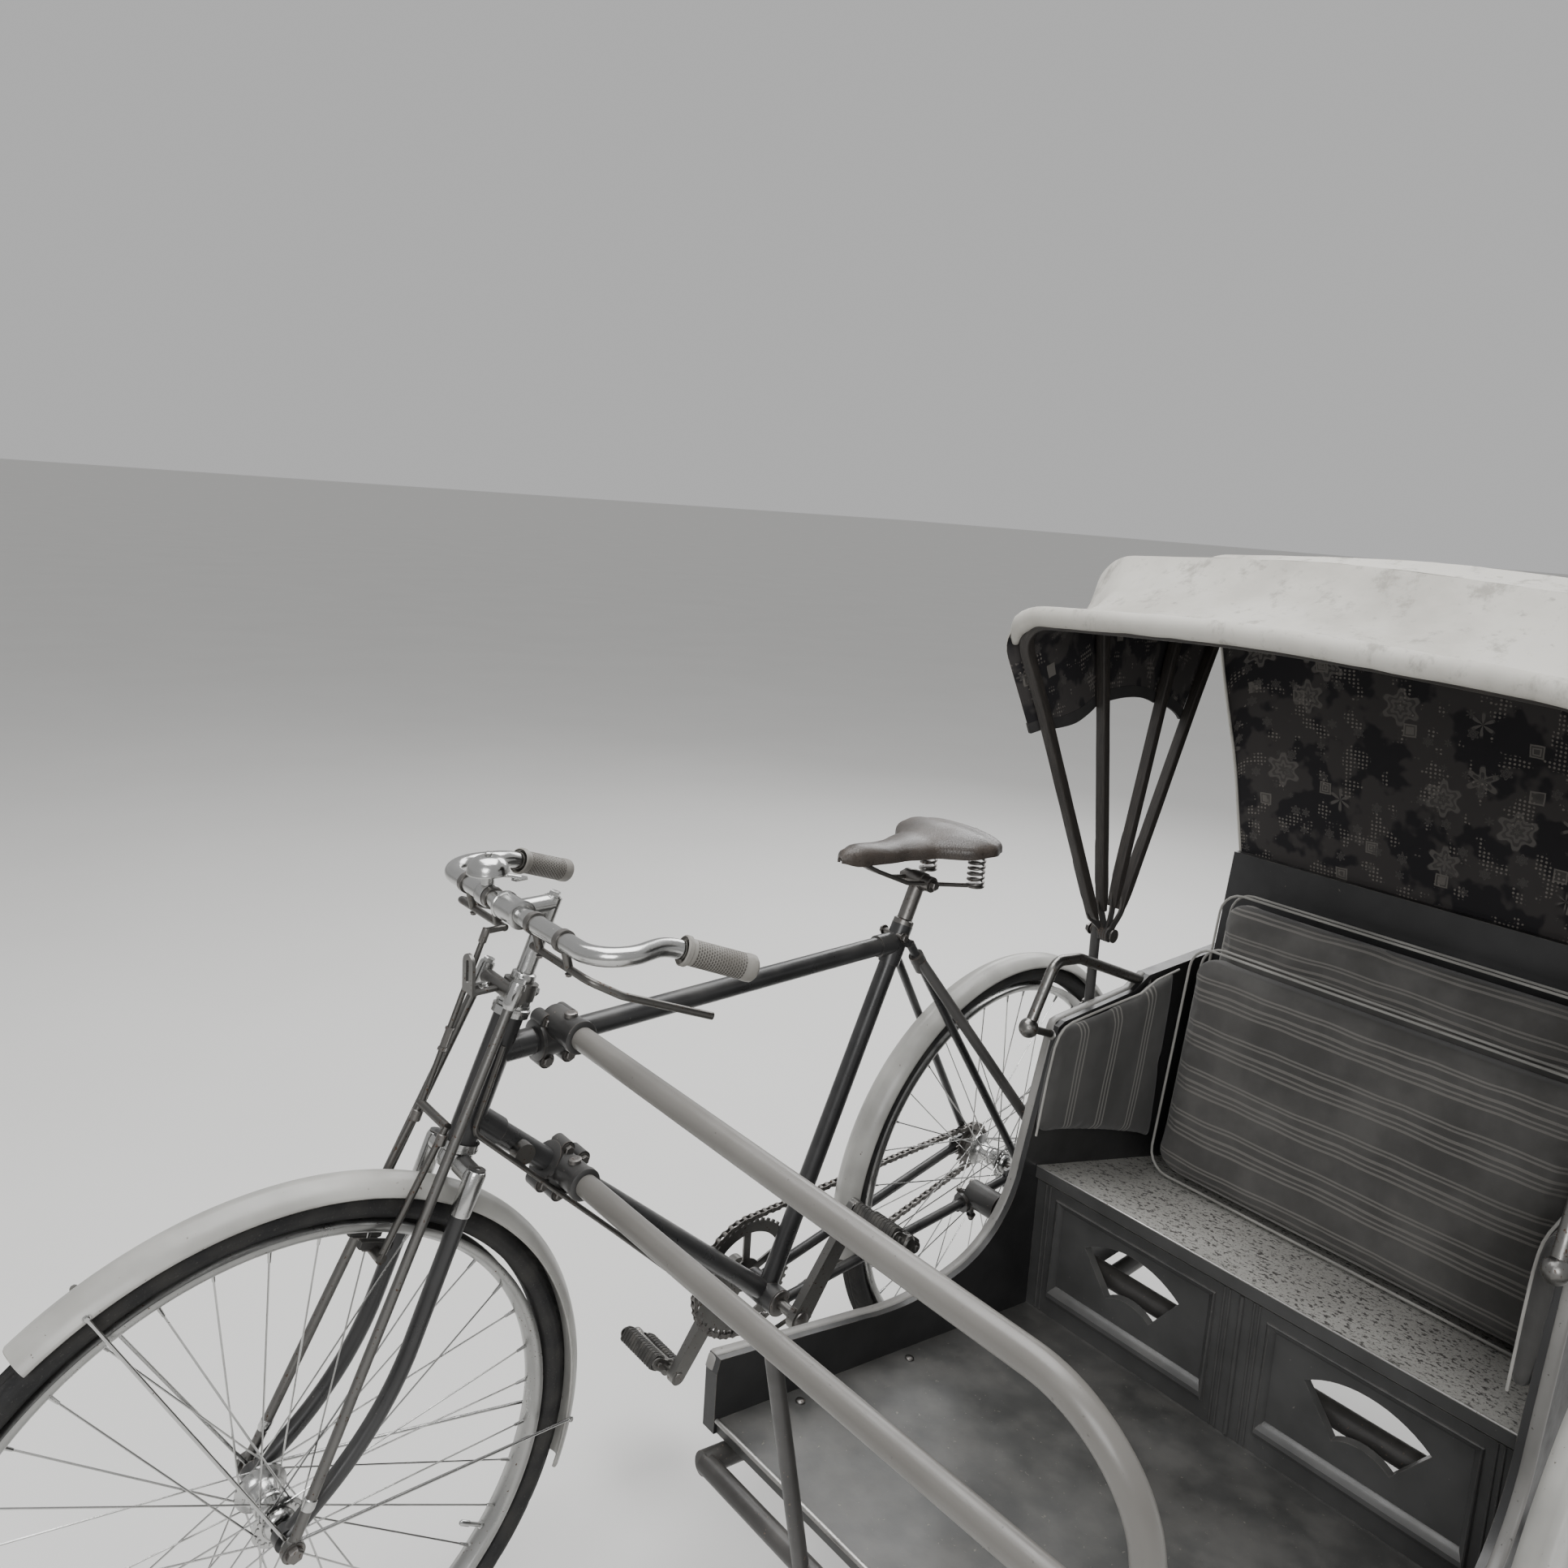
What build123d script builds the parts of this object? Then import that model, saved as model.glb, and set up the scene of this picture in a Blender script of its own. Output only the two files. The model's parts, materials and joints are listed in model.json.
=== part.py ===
from build123d import *
import os
from math import cos, pi, radians, sin, tan

os.makedirs("parts", exist_ok=True)

# Cycle rickshaw: a heavy roadster bicycle with a two-seat passenger sidecar
# bolted to its left side. Millimetres. +X forward, +Y to the rider's left, +Z up.
# Places are written from the ground point under the rear axle, on the bicycle's
# middle plane, and spot() moves them so that the origin is the middle of the
# vehicle's footprint.

# Wheels
wheel_radius = 355.0
tyre_section = 38.0
tyre_height = 36.0
tread_width = 18.0
tyre_foot = 26.0
rim_depth = 15.0
rim_width = 31.0
spoke_count = 36
spoke_size = 2.2
flange_radius = 26.0
flange_offset = 29.0
hub_radius = 15.0
axle_radius = 5.0
guard_gap = 15.0
guard_thickness = 2.5
guard_width = 58.0

# Bicycle frame
wheelbase = 1202.0
bracket_x = 509.0
bracket_z = 310.0
seat_angle = 66.3
seat_tube_length = 557.6
head_angle = 68.5
fork_rake = 63.2
head_low = 404.0
head_over_top_tube = 54.7
main_tube_radius = 14.3
head_tube_radius = 18.0
head_bore_radius = 15.5
steerer_radius = 12.7
lug_wall = 2.6
lug_length = 46.0
bracket_radius = 20.0
bracket_half_width = 34.0
chain_stay_radius = 8.0
seat_stay_radius = 7.0
stay_spread = 64.0
dropout_thickness = 5.0

# Cranks, pedals and chain
crank_axle_radius = 8.0
crank_length = 170.0
crank_offset = 76.0
crank_thickness = 14.0
crank_angle = -54.0
chain_pitch = 12.7
ring_teeth = 46
cog_teeth = 18
chain_line = 50.0
chain_band = 8.0
chain_width = 7.0
roller_band = 5.0
roller_width = 5.0
link_height = 7.2
link_length = 20.4
tooth_gap = 0.3
pedal_length = 92.0
pedal_depth = 74.0
pedal_height = 26.0
pedal_inset = 12.0
spindle_radius = 5.0
pedal_tilt = 38.0

# Steering
crown_height = 20.0
blade_radius = 10.0
blade_spread = 52.0
stem_rise = 128.0
stem_reach = 49.1
bar_radius = 11.0
bar_half_straight = 205.0
grip_radius = 15.5
bell_side = 66.0
bell_lift = 27.0
bell_radius = 25.0
truss_rod_radius = 6.0
truss_spread = 39.0
axle_nut_spread = 74.0
lamp_half_width = 13.0
lamp_reach = 32.0
lamp_height = 34.0

# Side tubes that carry the sidecar
side_tube_radius = 14.0
upper_clamp_behind = 75.9
lower_clamp_behind = 117.2
upper_tube_lift = 21.0
lower_tube_lift = 7.4
side_tube_bend = 110.0
clamp_wall = 9.0
clamp_half_length = 24.0
clamp_bolt_spread = 15.0
lobe_radius = 10.0
lobe_depth = 26.0
bolt_radius = 4.0

# Sidecar body
panel_inner_y = 225.0
panel_thickness = 22.0
cabin_width = 700.0
seat_front_x = 164.0
seat_top_z = 503.0
seat_fall = 16.5
board_thickness = 18.0
floor_z = 270.0
floor_rise = 10.2
floor_step = 4.0
floor_front_x = 765.0
back_x = -236.0
back_thickness = 13.8
back_top_z = 930.0
back_recline = 10.0
arm_front_z = 728.0
arm_rear_z = 752.0
axle_tube_radius = 16.0
side_axle_x = 115.0
rail_radius = 14.0
side_wheel_gap = 90.0
band_spread = 15.0
outer_rail_gap = 63.0
cope_gap = 0.1
arm_rail_radius = 8.5
arm_ball_radius = 15.0
arm_rail_rise = 98.0
post_radius = 8.0
post_foot_z = 640.0
post_bracket_height = 20.0

# Hood
hood_x = 30.0
hood_z = 843.0
hood_pin_radius = 6.0
canvas_thickness = 3.0

bar_flare = 9.0
rim_outer_radius = wheel_radius - tyre_height
track = panel_inner_y + cabin_width + side_wheel_gap
outer_rail_y = track + outer_rail_gap
rear_reach = wheel_radius + guard_gap + guard_thickness
right_reach = bar_half_straight + bar_flare + grip_radius
rear_axle_x = -(wheelbase + wheel_radius - rear_reach) / 2
bike_y = -(outer_rail_y + rail_radius - right_reach) / 2
cabin_left_y = panel_inner_y + cabin_width
cabin_middle_y = panel_inner_y + cabin_width / 2
guard_radius = wheel_radius + guard_gap


def spot(x, y, z):
    """place of a point written from the ground under the rear axle"""
    return Vector(x + rear_axle_x, y + bike_y, z)


def rod(start, end, radius, mode=Mode.ADD):
    """straight round bar between two written points"""
    foot = spot(*start)
    run = spot(*end) - foot
    with BuildSketch(Plane(origin=foot, z_dir=run)) as section:
        Circle(radius)
    extrude(section.sketch, amount=run.length, mode=mode)


def sleeve(start, end, bore, wall):
    """round socket between two written points, open through its middle"""
    foot = spot(*start)
    run = spot(*end) - foot
    with BuildSketch(Plane(origin=foot, z_dir=run)) as section:
        Circle(bore + wall)
        Circle(bore, mode=Mode.SUBTRACT)
    extrude(section.sketch, amount=run.length)


def bent_rod(points, bends, radius):
    """round bar along straight runs that are joined by bends"""
    places = [spot(*point) for point in points]
    with BuildLine() as route:
        FilletPolyline(*places, radius=bends)
    line = route.line
    with BuildSketch(Plane(origin=line @ 0, z_dir=line % 0)) as section:
        Circle(radius)
    sweep(section.sketch, path=line)


def radial_plane(centre, angle):
    """plane through a wheel's axle: x runs along the axle, y away from it"""
    a = radians(angle)
    return Plane(origin=centre, x_dir=(0, 1, 0), z_dir=(sin(a), 0, -cos(a)))


def box_at(low, high, mode=Mode.ADD):
    """square block between two written corners"""
    corner = spot(*low)
    size = spot(*high) - corner
    with Locations(corner):
        Box(size.X, size.Y, size.Z, align=(Align.MIN, Align.MIN, Align.MIN), mode=mode)


# Steering axis, written from the ground under the rear axle
lean = radians(head_angle)
axis_up = Vector(-cos(lean), 0, sin(lean))
axis_out = Vector(sin(lean), 0, cos(lean))
axis_foot = Vector(wheelbase, 0, wheel_radius) - axis_out * fork_rake


def on_axis(along, out=0.0, side=0.0):
    """written point beside the steering axis"""
    place = axis_foot + axis_up * along + axis_out * out
    return (place.X, side, place.Z)


seat_lean = radians(seat_angle)
bracket = (bracket_x, 0, bracket_z)
cluster_x = bracket_x - seat_tube_length * cos(seat_lean)
cluster_z = bracket_z + seat_tube_length * sin(seat_lean)
rear_axle = (0, 0, wheel_radius)
front_axle = (wheelbase, 0, wheel_radius)
top_tube_drop = 5.6
top_tube_z = cluster_z - top_tube_drop
side_axle = (side_axle_x, track, wheel_radius)
head_top_along = (top_tube_z - axis_foot.Z) / sin(lean)
head_down_along = head_low + 38.0
head_high = head_top_along + head_over_top_tube
stem_along = head_high + stem_rise
bar_x = on_axis(stem_along)[0] + stem_reach
bar_z = on_axis(stem_along)[2]
top_start = on_axis(head_top_along)
down_start = on_axis(head_down_along)


def toward(start, end, distance):
    """written point at a distance from one point on the way to another"""
    a = Vector(*start)
    run = Vector(*end) - a
    place = a + run * (distance / run.length)
    return (place.X, place.Y, place.Z)


top_end_x = bracket_x - (top_tube_z - bracket_z) / tan(seat_lean)
top_end = (top_end_x, 0, top_tube_z)

# Head tube with its two lugs
with BuildPart() as head_tube:
    rod(on_axis(head_low), on_axis(head_high), head_tube_radius)
    sleeve(top_start, toward(top_start, top_end, lug_length), main_tube_radius, lug_wall)
    sleeve(down_start, toward(down_start, bracket, lug_length), main_tube_radius, lug_wall)
    rod(on_axis(head_low - 1), on_axis(head_high + 1), head_bore_radius, Mode.SUBTRACT)
head_tube.part.label = "head_tube"

# Top tube, coped to the head tube and the seat tube
with BuildPart() as top_tube:
    rod(top_start, top_end, main_tube_radius)
    rod(on_axis(head_low), on_axis(head_high), head_tube_radius, Mode.SUBTRACT)
    rod(bracket, toward(bracket, (cluster_x, 0, cluster_z), seat_tube_length + 60),
        main_tube_radius + lug_wall, Mode.SUBTRACT)
top_tube.part.label = "top_tube"

# Down tube, coped to the head tube and the bracket shell
with BuildPart() as down_tube:
    rod(down_start, bracket, main_tube_radius)
    rod(on_axis(head_low), on_axis(head_high), head_tube_radius, Mode.SUBTRACT)
    rod((bracket_x, -bracket_half_width, bracket_z), (bracket_x, bracket_half_width, bracket_z),
        bracket_radius, Mode.SUBTRACT)
    rod(bracket, (cluster_x, 0, cluster_z), main_tube_radius, Mode.SUBTRACT)
down_tube.part.label = "down_tube"

# Seat tube with the bracket shell at its foot and the seat lug at its top
seat_tube_top = toward(bracket, (cluster_x, 0, cluster_z), seat_tube_length + 22)
with BuildPart() as seat_tube:
    rod(bracket, seat_tube_top, main_tube_radius)
    rod((bracket_x, -bracket_half_width, bracket_z), (bracket_x, bracket_half_width, bracket_z),
        bracket_radius)
    rod(top_end, toward(top_end, top_start, 42), main_tube_radius + lug_wall)
    rod(toward(top_end, top_start, 10), top_start, main_tube_radius, Mode.SUBTRACT)
    rod(toward(bracket, (cluster_x, 0, cluster_z), seat_tube_length - 42), seat_tube_top,
        main_tube_radius + lug_wall)
    rod((bracket_x, -bracket_half_width - 1, bracket_z),
        (bracket_x, bracket_half_width + 1, bracket_z), crank_axle_radius + 0.3, Mode.SUBTRACT)
seat_tube.part.label = "seat_tube"

# Chain stays with the rear fork ends
with BuildPart() as chain_stays:
    for side in (-1, 1):
        rod((bracket_x - 14, side * 31, bracket_z + 1), (16, side * stay_spread, wheel_radius),
            chain_stay_radius)
        box_at((-15, side * stay_spread - dropout_thickness / 2, wheel_radius - 14),
               (40, side * stay_spread + dropout_thickness / 2, wheel_radius + 16))
    rod((bracket_x, -bracket_half_width, bracket_z), (bracket_x, bracket_half_width, bracket_z),
        bracket_radius, Mode.SUBTRACT)
    rod((0, -stay_spread - 9, wheel_radius), (0, stay_spread + 9, wheel_radius), axle_radius + 0.3,
        Mode.SUBTRACT)
chain_stays.part.label = "chain_stays"

# Seat stays from the seat lug to the fork ends
with BuildPart() as seat_stays:
    for side in (-1, 1):
        rod((cluster_x - 4, side * 25, cluster_z - 4), (8, side * (stay_spread - 1), wheel_radius + 26),
            seat_stay_radius)
    rod((cluster_x - 4, -27, cluster_z - 4), (cluster_x - 4, 27, cluster_z - 4), seat_stay_radius)
    rod(bracket, seat_tube_top, main_tube_radius + lug_wall, Mode.SUBTRACT)
    for side in (-1, 1):
        box_at((-15, side * stay_spread - dropout_thickness / 2, wheel_radius - 14),
               (40, side * stay_spread + dropout_thickness / 2, wheel_radius + 16), Mode.SUBTRACT)
seat_stays.part.label = "seat_stays"

# Saddle post, clip and coil springs
post_top = toward(bracket, (cluster_x, 0, cluster_z), seat_tube_length + 95)
saddle_z = post_top[2] + 62
with BuildPart() as saddle_frame:
    rod(toward(bracket, seat_tube_top, seat_tube_length + 22.3), post_top, main_tube_radius - 2)
    rod((post_top[0], -32, post_top[2]), (post_top[0], 32, post_top[2]), 11)
    for side in (-1, 1):
        rod((post_top[0], side * 26, post_top[2]), (post_top[0] - 75, side * 52, post_top[2] + 5), 5)
        rod((post_top[0] - 75, side * 52, post_top[2] - 8), (post_top[0] - 75, side * 52, saddle_z - 14), 15)
        rod((post_top[0], side * 20, post_top[2]), (post_top[0] + 120, side * 8, saddle_z - 24), 4.5)
    rod((post_top[0] + 120, -14, saddle_z - 24), (post_top[0] + 120, 14, saddle_z - 24), 8)
saddle_frame.part.label = "saddle_frame"

# Leather saddle top: broad at the back, narrow at the nose
saddle_x = post_top[0]
with BuildPart() as saddle_top:
    with BuildSketch(Plane(origin=spot(0, 0, saddle_z - 13.5))):
        with BuildLine():
            ThreePointArc((saddle_x + 150, -20), (saddle_x + 172, 0), (saddle_x + 150, 20))
            ThreePointArc((saddle_x + 150, 20), (saddle_x + 20, 42), (saddle_x - 70, 98))
            ThreePointArc((saddle_x - 70, 98), (saddle_x - 118, 0), (saddle_x - 70, -98))
            ThreePointArc((saddle_x - 70, -98), (saddle_x + 20, -42), (saddle_x + 150, -20))
        make_face()
    extrude(amount=34, taper=14)
saddle_top.part.label = "saddle_top"


def wheel_metal(centre, half_axle):
    """rim, spokes, flanged hub and axle of one wheel"""
    middle = spot(*centre)
    wheel_plane = radial_plane(middle, 90)
    inner = rim_outer_radius - rim_depth
    with BuildSketch(wheel_plane) as rim_section:
        Polygon((-rim_width / 2, rim_outer_radius), (rim_width / 2, rim_outer_radius),
                (rim_width / 2, rim_outer_radius - 6), (rim_width / 4, inner),
                (-rim_width / 4, inner), (-rim_width / 2, rim_outer_radius - 6), align=None)
    revolve(rim_section.sketch, axis=Axis(middle, (0, 1, 0)))
    with BuildSketch(wheel_plane) as hub_section:
        with BuildLine():
            Polyline((-flange_offset - 2, 0), (-flange_offset - 2, flange_radius),
                     (-flange_offset + 1, flange_radius), (-flange_offset + 1, hub_radius),
                     (flange_offset - 1, hub_radius), (flange_offset - 1, flange_radius),
                     (flange_offset + 2, flange_radius), (flange_offset + 2, 0), close=True)
        make_face()
    revolve(hub_section.sketch, axis=Axis(middle, (0, 1, 0)))
    x, y, z = centre
    rod((x, y - half_axle, z), (x, y + half_axle, z), axle_radius)
    places = []
    for index in range(spoke_count):
        side = 1 if index % 2 else -1
        cross = 62 if (index // 2) % 2 else -62
        rim_angle = radians(360 * index / spoke_count)
        hub_angle = rim_angle + radians(cross)
        hole = flange_radius - 4
        foot = middle + Vector(hole * cos(hub_angle), side * flange_offset, hole * sin(hub_angle))
        head = middle + Vector((inner + 2) * cos(rim_angle), side * 4, (inner + 2) * sin(rim_angle))
        run = head - foot
        places.append(Plane(origin=foot, z_dir=run).location)
    with Locations(*places):
        Box(spoke_size, spoke_size, run.length, align=(Align.CENTER, Align.CENTER, Align.MIN))


def tyre_ring(centre):
    """tyre with flat walls and tread, its foot on the rim"""
    middle = spot(*centre)
    with BuildSketch(radial_plane(middle, 90)) as section:
        Polygon((-tyre_foot / 2, rim_outer_radius), (-tyre_section / 2, wheel_radius - tyre_section / 2),
                (-tread_width / 2, wheel_radius), (tread_width / 2, wheel_radius),
                (tyre_section / 2, wheel_radius - tyre_section / 2), (tyre_foot / 2, rim_outer_radius), align=None)
    revolve(section.sketch, axis=Axis(middle, (0, 1, 0)))


def mudguard(centre, high_angle, turn):
    """curved blade over a tyre, from its rear end forward"""
    middle = spot(*centre)
    curve = guard_width / 2
    with BuildSketch(radial_plane(middle, high_angle)) as section:
        with Locations((0, guard_radius - curve)):
            Circle(curve + guard_thickness)
            Circle(curve, mode=Mode.SUBTRACT)
        with Locations((0, guard_radius - 12 - curve * 2)):
            Rectangle(curve * 4, curve * 4, mode=Mode.SUBTRACT)
    revolve(section.sketch, axis=Axis(middle, (0, 1, 0)), revolution_arc=turn)


def guard_stays(centre, angle, foot_side):
    """two thin stays from a mudguard's edges down to eyes on its axle"""
    x, y, z = centre
    a = radians(angle)
    reach = guard_radius - 9
    for side in (-1, 1):
        rod((x, y + side * foot_side, z),
            (x + reach * cos(a), y + side * (guard_width / 2 - 1.5), z + reach * sin(a)), 2.0)
        rod((x, y + side * (foot_side - 1.5), z), (x, y + side * (foot_side + 1.5), z), 9)
    rod((x, y - foot_side - 5, z), (x, y + foot_side + 5, z), axle_radius + 0.4, Mode.SUBTRACT)


# Three wire wheels of one size
with BuildPart() as front_wheel:
    wheel_metal(front_axle, 83)
front_wheel.part.label = "front_wheel"

with BuildPart() as front_tyre:
    tyre_ring(front_axle)
front_tyre.part.label = "front_tyre"

ring_radius = chain_pitch / (2 * sin(pi / ring_teeth))
cog_radius = chain_pitch / (2 * sin(pi / cog_teeth))


def tooth_sketch(pitch_radius, teeth, hole):
    """toothed wheel whose tips stay inside the chain's rollers"""
    tip = pitch_radius - chain_band / 2 - tooth_gap
    root_radius = tip - 4
    Circle(root_radius)
    with PolarLocations(root_radius - 1, teeth):
        Trapezoid(chain_pitch * 0.6, 5, 70, rotation=-90, align=(Align.CENTER, Align.MIN))
    Circle(hole, mode=Mode.SUBTRACT)


def side_plane(y):
    """upright plane along the vehicle: x forward, y up"""
    return Plane(origin=spot(0, y, 0), x_dir=(1, 0, 0), z_dir=(0, -1, 0))


with BuildPart() as rear_wheel:
    wheel_metal(rear_axle, 77)
    rod((0, -40, wheel_radius), (0, -55, wheel_radius), 24)
    with BuildSketch(Plane(origin=spot(0, -chain_line + 1.5, wheel_radius), x_dir=(1, 0, 0), z_dir=(0, -1, 0))):
        tooth_sketch(cog_radius, cog_teeth, 15)
    extrude(amount=3)
    rod((0, -30, wheel_radius), (0, -41, wheel_radius), 16)
rear_wheel.part.label = "rear_wheel"

with BuildPart() as rear_tyre:
    tyre_ring(rear_axle)
rear_tyre.part.label = "rear_tyre"

with BuildPart() as side_wheel:
    wheel_metal(side_axle, 62)
side_wheel.part.label = "side_wheel"

with BuildPart() as side_tyre:
    tyre_ring(side_axle)
side_tyre.part.label = "side_tyre"

# Mudguards
with BuildPart() as rear_guard:
    mudguard(rear_axle, 205, 212)
    guard_stays(rear_axle, 162, 72)
    guard_stays(rear_axle, 195, 72)
rear_guard.part.label = "rear_guard"

with BuildPart() as front_guard:
    mudguard(front_axle, 200, 148)
    guard_stays(front_axle, 190, 65.8)
    guard_stays(front_axle, 62, 65.8)
front_guard.part.label = "front_guard"

with BuildPart() as side_guard:
    mudguard(side_axle, 200, 190)
    guard_stays(side_axle, 150, 46)
    guard_stays(side_axle, 30, 46)
side_guard.part.label = "side_guard"

# Chain: one loop round the chain ring and the rear cog, its rollers as a band
# and every second link with its two plates at full height
def chain_loop(offset, width):
    """outline of the chain's run, a little outside or inside its middle"""
    with BuildSketch(side_plane(-chain_line + width / 2)) as loop:
        with Locations((bracket_x, bracket_z)):
            Circle(ring_radius + offset)
        with Locations((0, wheel_radius)):
            Circle(cog_radius + offset)
        make_hull()
    return loop.sketch


pitch_route = chain_loop(0, chain_width).face().outer_wire()
plate_pairs = round(pitch_route.length / (2 * chain_pitch))
with BuildPart() as chain:
    extrude(chain_loop(roller_band / 2, roller_width), amount=roller_width)
    extrude(chain_loop(-roller_band / 2, roller_width), amount=roller_width, mode=Mode.SUBTRACT)
    with Locations(*(Plane(origin=pitch_route @ (pair / plate_pairs), x_dir=pitch_route % (pair / plate_pairs),
                           z_dir=(0, 1, 0)).location for pair in range(plate_pairs))):
        Box(link_length, link_height, chain_width, align=(Align.CENTER, Align.CENTER, Align.MAX))
chain.part.label = "chain"

# Crankset: axle, chain ring with its arms, two cranks and the pedal spindles
with BuildPart() as crankset:
    rod((bracket_x, -crank_offset - 6, bracket_z), (bracket_x, crank_offset + 6, bracket_z), crank_axle_radius)
    with BuildSketch(Plane(origin=spot(bracket_x, -chain_line + 1.5, bracket_z), x_dir=(1, 0, 0), z_dir=(0, -1, 0))):
        tooth_sketch(ring_radius, ring_teeth, 68)
        Circle(26)
        with PolarLocations(47, 5, start_angle=crank_angle):
            Rectangle(46, 13)
        Circle(crank_axle_radius - 1, mode=Mode.SUBTRACT)
    extrude(amount=3)
    for side in (-1, 1):
        a = radians(crank_angle if side < 0 else crank_angle + 180)
        end_x = bracket_x + crank_length * cos(a)
        end_z = bracket_z + crank_length * sin(a)
        with BuildSketch(side_plane(side * crank_offset + crank_thickness / 2)):
            with Locations((bracket_x, bracket_z)):
                Circle(17)
            with Locations((end_x, end_z)):
                Circle(12)
            make_hull()
        extrude(amount=crank_thickness)
        start_y = side * (crank_offset + crank_thickness / 2 - 1)
        end_y = side * (crank_offset + crank_thickness / 2 + pedal_inset + pedal_length - 4)
        rod((end_x, start_y, end_z), (end_x, end_y, end_z), spindle_radius)
crankset.part.label = "crankset"


def pedal_body(side):
    """rubber-block pedal turning on its spindle"""
    a = radians(crank_angle if side < 0 else crank_angle + 180)
    middle = spot(bracket_x + crank_length * cos(a), 0, bracket_z + crank_length * sin(a))
    inside = crank_offset + crank_thickness / 2 + pedal_inset
    near = inside if side > 0 else -inside - pedal_length
    tilt = radians(pedal_tilt)
    face = Plane(origin=middle + Vector(0, near, 0), x_dir=(cos(tilt), 0, sin(tilt)), z_dir=(0, 1, 0))
    with BuildSketch(face) as blocks:
        Circle(13)
        for end in (-1, 1):
            with Locations((end * (pedal_depth / 2 - 13), 0)):
                RectangleRounded(26, pedal_height, 4)
        Circle(spindle_radius + 0.4, mode=Mode.SUBTRACT)
    extrude(blocks.sketch, amount=pedal_length)
    for shift in (0, pedal_length - 3):
        with BuildSketch(face.offset(shift)) as plate:
            Rectangle(pedal_depth - 22, 14)
            Circle(spindle_radius + 0.4, mode=Mode.SUBTRACT)
        extrude(plate.sketch, amount=3)


with BuildPart() as pedal_left:
    pedal_body(1)
pedal_left.part.label = "pedal_left"

with BuildPart() as pedal_right:
    pedal_body(-1)
pedal_right.part.label = "pedal_right"

# Fork: steerer, crown and two curved blades
crown_along = head_low - crown_height / 2 - 1
with BuildPart() as fork:
    rod(on_axis(crown_along), on_axis(head_high + 30), steerer_radius)
    rod(on_axis(crown_along - crown_height / 2), on_axis(crown_along + crown_height / 2), 17)
    rod(on_axis(crown_along, 0, -blade_spread), on_axis(crown_along, 0, blade_spread), crown_height / 2)
    for side in (-1, 1):
        bent_rod([on_axis(crown_along + 8, 0, side * blade_spread), on_axis(115, 0, side * (blade_spread + 1)),
                  (wheelbase, side * (blade_spread + 2), wheel_radius)], 340, blade_radius)
        rod((wheelbase, side * (blade_spread - 6), wheel_radius),
            (wheelbase, side * (blade_spread + 8), wheel_radius), 13)
    rod((wheelbase, -90, wheel_radius), (wheelbase, 90, wheel_radius), axle_radius + 0.4, Mode.SUBTRACT)
fork.part.label = "fork"

# Headset: the two cups pressed into the head tube
with BuildPart() as headset:
    sleeve(on_axis(head_low - 0.6), on_axis(head_low + 9), head_tube_radius + 0.3, 4)
    sleeve(on_axis(head_high - 9), on_axis(head_high + 0.6), head_tube_radius + 0.3, 4)
headset.part.label = "headset"

# Braced fork tubes and the forged yoke that holds them at the top
yoke_along = head_high + 22
with BuildPart() as truss_fork:
    rod(on_axis(yoke_along - 10), on_axis(yoke_along + 10), 21)
    rod(on_axis(yoke_along, 26, -truss_spread - 9), on_axis(yoke_along, 26, truss_spread + 9), 9)
    for side in (-1, 1):
        rod(on_axis(yoke_along + 14, 28, side * truss_spread), (wheelbase + 2, side * axle_nut_spread, wheel_radius),
            truss_rod_radius)
        rod((wheelbase, side * (axle_nut_spread - 3), wheel_radius),
            (wheelbase, side * (axle_nut_spread + 5), wheel_radius), 12)
    rod(on_axis(crown_along), on_axis(head_high + 33), steerer_radius, Mode.SUBTRACT)
    rod((wheelbase, -90, wheel_radius), (wheelbase, 90, wheel_radius), axle_radius + 0.4, Mode.SUBTRACT)
truss_fork.part.label = "truss_fork"

# Handlebar: stem with a forward arm, straight middle and swept-back ends
bar_corner = (bar_x, bar_half_straight, bar_z)
bar_back = (bar_x - 85, bar_half_straight - 17, bar_z)
bar_end = (bar_x - 189, bar_half_straight + bar_flare, bar_z - 41)
with BuildPart() as handlebar:
    bent_rod([(bar_x, 0, bar_z), bar_corner, bar_back, bar_end], [45, 60], bar_radius)
    mirror(about=Plane(origin=spot(0, 0, 0), z_dir=(0, 1, 0)))
    rod(on_axis(head_high + 30.3), on_axis(stem_along + 8), 11)
    rod(on_axis(stem_along), (bar_x, 0, bar_z), 11.5)
    rod((bar_x, -22, bar_z), (bar_x, 22, bar_z), 16)
handlebar.part.label = "handlebar"

with BuildPart() as grips:
    sleeve(toward(bar_back, bar_end, 22), toward(bar_back, bar_end, 120), bar_radius, grip_radius - bar_radius)
    mirror(about=Plane(origin=spot(0, 0, 0), z_dir=(0, 1, 0)))
grips.part.label = "grips"

# Rod brake on the steering: levers under the bar, pull rod and stirrup
lever_z = bar_z - 34
with BuildPart() as front_brake:
    for side in (-1, 1):
        bent_rod([(bar_x - 8, side * 34, lever_z), (bar_x - 8, side * 160, lever_z),
                  (bar_x - 40, side * 178, lever_z - 18), (bar_x - 150, side * 196, lever_z - 62)], [20, 20], 4.5)
        for place in (52, 118):
            rod((bar_x - 8, side * place, lever_z), (bar_x - 1, side * place, bar_z - 6), 5)
    rod((bar_x - 8, -36, lever_z), (bar_x + 16, -36, lever_z), 4.0)
    rod((bar_x + 14, -36, lever_z + 3), on_axis(crown_along + 46, 47, -32), 3.5)
    rod(on_axis(crown_along + 46, 47, -36), on_axis(crown_along + 46, 47, 36), 5)
    for side in (-1, 1):
        rod(on_axis(crown_along + 46, 47, side * 34), on_axis(290, 66, side * 34), 4.2)
        rod(on_axis(290, 66, side * 38), on_axis(290, 66, side * 13), 6)
    rod((bar_x, -150, bar_z), (bar_x, 150, bar_z), bar_radius, Mode.SUBTRACT)
front_brake.part.label = "front_brake"

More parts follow.
